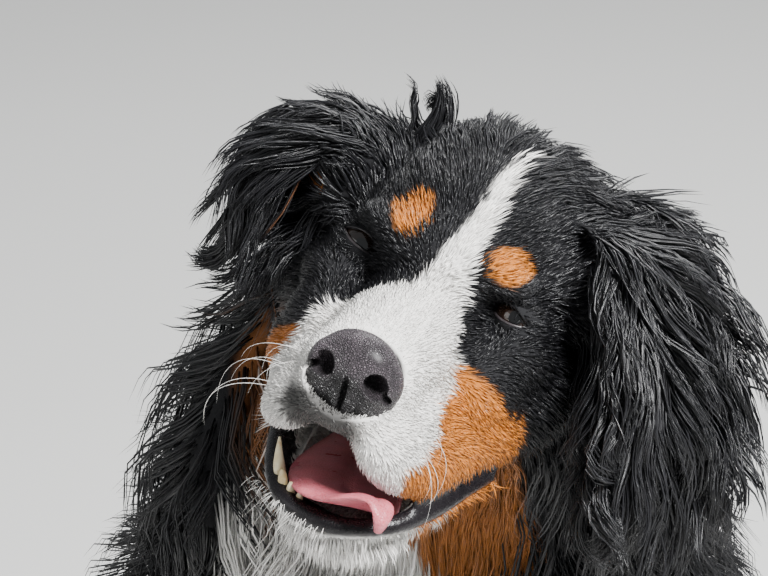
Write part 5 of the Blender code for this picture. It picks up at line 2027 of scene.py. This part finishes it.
@dataclass
class Pelt:
    """The whole coat, part by part."""

    head: HeadFrame
    ground: Ground
    marks: Markings
    lie: Lie

    def ears(self, places: Array) -> Array:
        """How much places belong to the ears."""
        return self.lie.ear_share(self.head.into(places))[0]

    def face_share(self, places: Array) -> Array:
        """How much places belong to the short-haired face."""
        spots = self.head.into(places)
        front = ease(118, 84, spots[:, 1] - 0.35 * spots[:, 2])
        return front * (1 - 0.6 * self.ears(places))

    def cheek_share(self, places: Array) -> Array:
        """How much places belong to the cheeks and the forehead, behind the eyes."""
        y = self.head.into(places)[:, 1]
        return self.face_share(places) * ease(8, 34, y) * (0.45 + 0.55 * ease(90, 55, y))

    def foot_share(self, places: Array) -> Array:
        """How much places belong to the short-haired legs and paws."""
        body = self.head.body(places)
        x, y, z = body.T
        fore = ease(0.36, 0.28, z) * ease(0.03, 0.0, y) * ease(0.035, 0.05, np.abs(x))
        hind = ease(0.10, 0.075, z) * ease(0.40, 0.34, y) * ease(0.10, 0.125, np.abs(x))
        return np.maximum(fore, hind)

    def face_length(self, places: Array) -> Array:
        """The length of the hair of the face."""
        spots = self.head.into(places)
        x, y, z = spots.T
        length = 0.0062 + 0.0042 * ease(-40, 10, y) + 0.015 * ease(20, 90, y)
        length = length + 0.010 * ease(-70, -100, z) * ease(-60, 0, y) + 0.006 * ease(-112, -120, z)
        length = length + 0.007 * ease(46, 64, np.abs(x)) * ease(-5, 30, y)
        length = length + 0.006 * ease(52, 72, z)
        nose = away(spots, (0, -92, -38))
        return length * np.interp(nose, (18, 40), (0.55, 1.0))

    def trunk_density(self, places: Array) -> Array:
        """How thickly the long coat stands."""
        body = self.head.body(places)
        tail = ease(0.46, 0.50, body[:, 1])
        front = ease(118, 84, self.head.into(places) @ np.array([0, 1.0, -0.35]))
        covered = 1 - np.maximum(front, self.ears(places))
        under = ease(-0.02, 0.02, body[:, 2] - 0.012)
        return np.clip(covered, 0, 1) * (1 - self.foot_share(places)) * (1 - tail) * under

    def skull_share(self, places: Array) -> Array:
        """How much places belong to the top and the back of the skull."""
        x, y, z = self.head.into(places).T
        return ease(50, 64, z) * ease(22, 44, y) * ease(120, 95, y) * ease(74, 60, np.abs(x))

    def temple_share(self, places: Array) -> Array:
        """How much places belong to the skin between the skull and the leaves of the ears."""
        spots = self.head.into(places)
        gap = (np.abs(spots) * (1, 0, 0) + spots * (0, 1, 1) - (80, 62, -2)) / (24, 26, 34)
        return ease(1.15, 0.8, np.linalg.norm(gap, axis=1))

    def throat_share(self, places: Array) -> Array:
        """How much places belong to the soft throat under the jaw."""
        x, y, z = self.head.into(places).T
        return ease(-62, -84, z) * ease(140, 100, y) * ease(95, 70, np.abs(x - 8))

    def chin_share(self, places: Array) -> Array:
        """How much places belong to the chin, under the edge of the lower lip."""
        x, y, z = self.head.into(places).T
        return ease(-112, -120, z) * ease(20, -10, y) * ease(50, 40, np.abs(x - 5))

    def ruff_share(self, places: Array) -> Array:
        """How much places belong to the ruff: the neck and the upper chest."""
        body = self.head.body(places)
        return ease(0.47, 0.54, body[:, 2]) * ease(0.09, 0.02, body[:, 1])

    def ruff_density(self, places: Array) -> Array:
        """How thickly the long coat of the ruff and the throat stands."""
        return self.trunk_density(places) * self.ruff_share(places)

    def ear_length(self, places: Array) -> Array:
        """The length of the hair of the ears, shorter on the right one."""
        spots = self.head.into(places)
        length = np.where(spots[:, 0] > 0, 0.060, 0.046) + 0.011 * ripple(places, 0.05, 7)
        return length * (0.55 + 0.45 * ease(48, 84, np.abs(spots[:, 0])))

    def tail_length(self, places: Array) -> Array:
        """The length of the plume, which stays inside the model's reach at the tip."""
        body = self.head.body(places)
        length = 0.072 + 0.01 * ripple(places, 0.05, 8)
        return length * (0.42 + 0.58 * ease(-0.27, -0.20, body[:, 0]))

    def trunk_length(self, places: Array) -> Array:
        """The length of the long coat: longest on the neck and the chest."""
        _, y, z = self.head.body(places).T
        length = 0.072 + 0.030 * ease(0.40, 0.55, z) * ease(0.25, 0.02, y)
        length = length + 0.012 * ease(-0.03, -0.10, y)
        length = length - 0.030 * ease(0.28, 0.12, z) * ease(0.45, 0.30, y)
        length = length - 0.025 * ease(0.10, 0.03, z)
        near_face = ease(70, 130, self.head.into(places)[:, 1])
        return np.maximum(length, 0.02) * (0.5 + 0.5 * near_face)

    def growths(self) -> list:
        """What each part of the coat is made of."""
        return [
            Growth(
                "coat_face", 28000, 101,
                lambda p, n: self.face_share(p) * ease(34, 8, self.head.into(p)[:, 1]),
                self.face_length, 0.00080, rings=2, rise=0.22, sink=0.0010, follow=True,
            ),
            Growth(
                "coat_cheeks", 11500, 141, lambda p, n: self.cheek_share(p), self.face_length,
                0.0012, rings=3, rise=0.22, curl=0.03, follow=True,
            ),
            Growth(
                "coat_crown", 220, 111,
                lambda p, n: ease(13, 7, away(self.head.into(p), (-47, 62, 58))),
                lambda p: np.full(len(p), 0.032), 0.0010, rings=9, gather=0.8, shapes=CURLS,
            ),
            Growth(
                "coat_skull", 2500, 121, lambda p, n: self.skull_share(p),
                lambda p: 0.030 + 0.006 * ripple(p, 0.03, 12), 0.0012, rings=4, rise=0.38,
                droop=0.25, curl=0.09, clumps=260, gather=0.6,
            ),
            Growth(
                "coat_temples", 2200, 131, lambda p, n: self.temple_share(p),
                lambda p: 0.048 + 0.008 * ripple(p, 0.03, 13), 0.0013, rings=5, rise=0.85,
                droop=0.45, curl=0.09, clumps=150, gather=0.6,
            ),
            Growth(
                "coat_ears", 5300, 202, lambda p, n: self.ears(p), self.ear_length, 0.00135,
                rings=7, rise=0.26, droop=0.10, curl=0.075, turns=0.95, clumps=300, gather=0.74,
                follow=True,
            ),
            Growth(
                "coat_chin", 1800, 161, lambda p, n: self.chin_share(p),
                lambda p: np.full(len(p), 0.014), 0.0009, rings=3, rise=0.8, droop=0.3, curl=0.05,
            ),
            Growth(
                "coat_throat", 8000, 151, lambda p, n: self.ruff_density(p) * self.throat_share(p),
                lambda p: 0.42 * self.trunk_length(p) + 0.007, 0.0013, rings=4, rise=0.30,
                droop=0.40, curl=0.06, turns=0.9, clumps=520, gather=0.5,
            ),
            Growth(
                "coat_ruff", 7400, 252,
                lambda p, n: self.ruff_density(p) * (1 - self.throat_share(p)), self.trunk_length,
                0.0015, rings=6, rise=0.62, droop=0.14, curl=0.11, turns=1.1, clumps=620,
                gather=0.72, follow=True,
            ),
            Growth(
                "coat_trunk", 6400, 303,
                lambda p, n: self.trunk_density(p) * (1 - self.ruff_share(p)), self.trunk_length,
                0.0042, rings=4, rise=0.32, droop=0.10, curl=0.05, turns=1.1, clumps=1100,
                gather=0.7, follow=True,
            ),
            Growth(
                "coat_legs", 5000, 404,
                lambda p, n: self.foot_share(p) * ease(-0.95, -0.6, n[:, 2]),
                lambda p: 0.013 + 0.018 * ease(0.10, 0.25, self.head.body(p)[:, 2]), 0.0016,
                rings=3, rise=0.25,
            ),
            Growth(
                "coat_tail", 2100, 505, lambda p, n: ease(0.46, 0.50, self.head.body(p)[:, 1]),
                self.tail_length, 0.0032, rings=4, rise=0.30, curl=0.05, clumps=190, gather=0.7,
                follow=True,
            ),
        ]

    def build(self) -> list:
        """Grows every part and lets it ride."""
        finish = FurFinish().make()
        coat = Coat(self.head, self.ground, self.marks, self.lie)
        out = []
        for kind in self.growths():
            for piece in coat.grow(kind):
                piece.data.materials.append(finish)
                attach(piece, "root")
                out.append(piece)
        return out


FLESH_NODES = (
    "head", "lower_jaw", "ear_left", "ear_right", "neck", "chest", "rump", "foreleg_left",
    "foreleg_right", "forepaw_left", "forepaw_right", "hindleg_left", "hindleg_right",
    "hindpaw_left", "hindpaw_right", "tail_root", "tail_plume",
)


def report(pieces: list) -> None:
    """Writes what each piece is made of to the log."""
    for piece in pieces:
        count = sum(len(p.vertices) - 2 for p in piece.data.polygons)
        LOG.info("%s: %d triangles", piece.name, count)


def main() -> None:
    """Builds the skin, the face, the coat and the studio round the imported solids."""
    logging.basicConfig(level=logging.INFO, format="%(name)s: %(message)s")
    for obj in list(bpy.data.objects):
        bpy.data.objects.remove(obj)
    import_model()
    head = HeadFrame.of_solids()
    marks = Markings(head)
    skin = Skin(head, marks).build()
    skin.data.materials.clear()
    skin.data.materials.append(SkinFinish().make())
    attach(skin, "root")
    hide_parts(*FLESH_NODES)
    report([skin])
    report([Nose(head).build(), *Mouth(head).build(), *Eyes(head).build()])
    report([Claws(head).build(), Whiskers(head).build()])
    report(Pelt(head, Ground(skin), marks, Lie(head)).build())
    Studio(head).build()


if __name__ == "__main__":
    main()
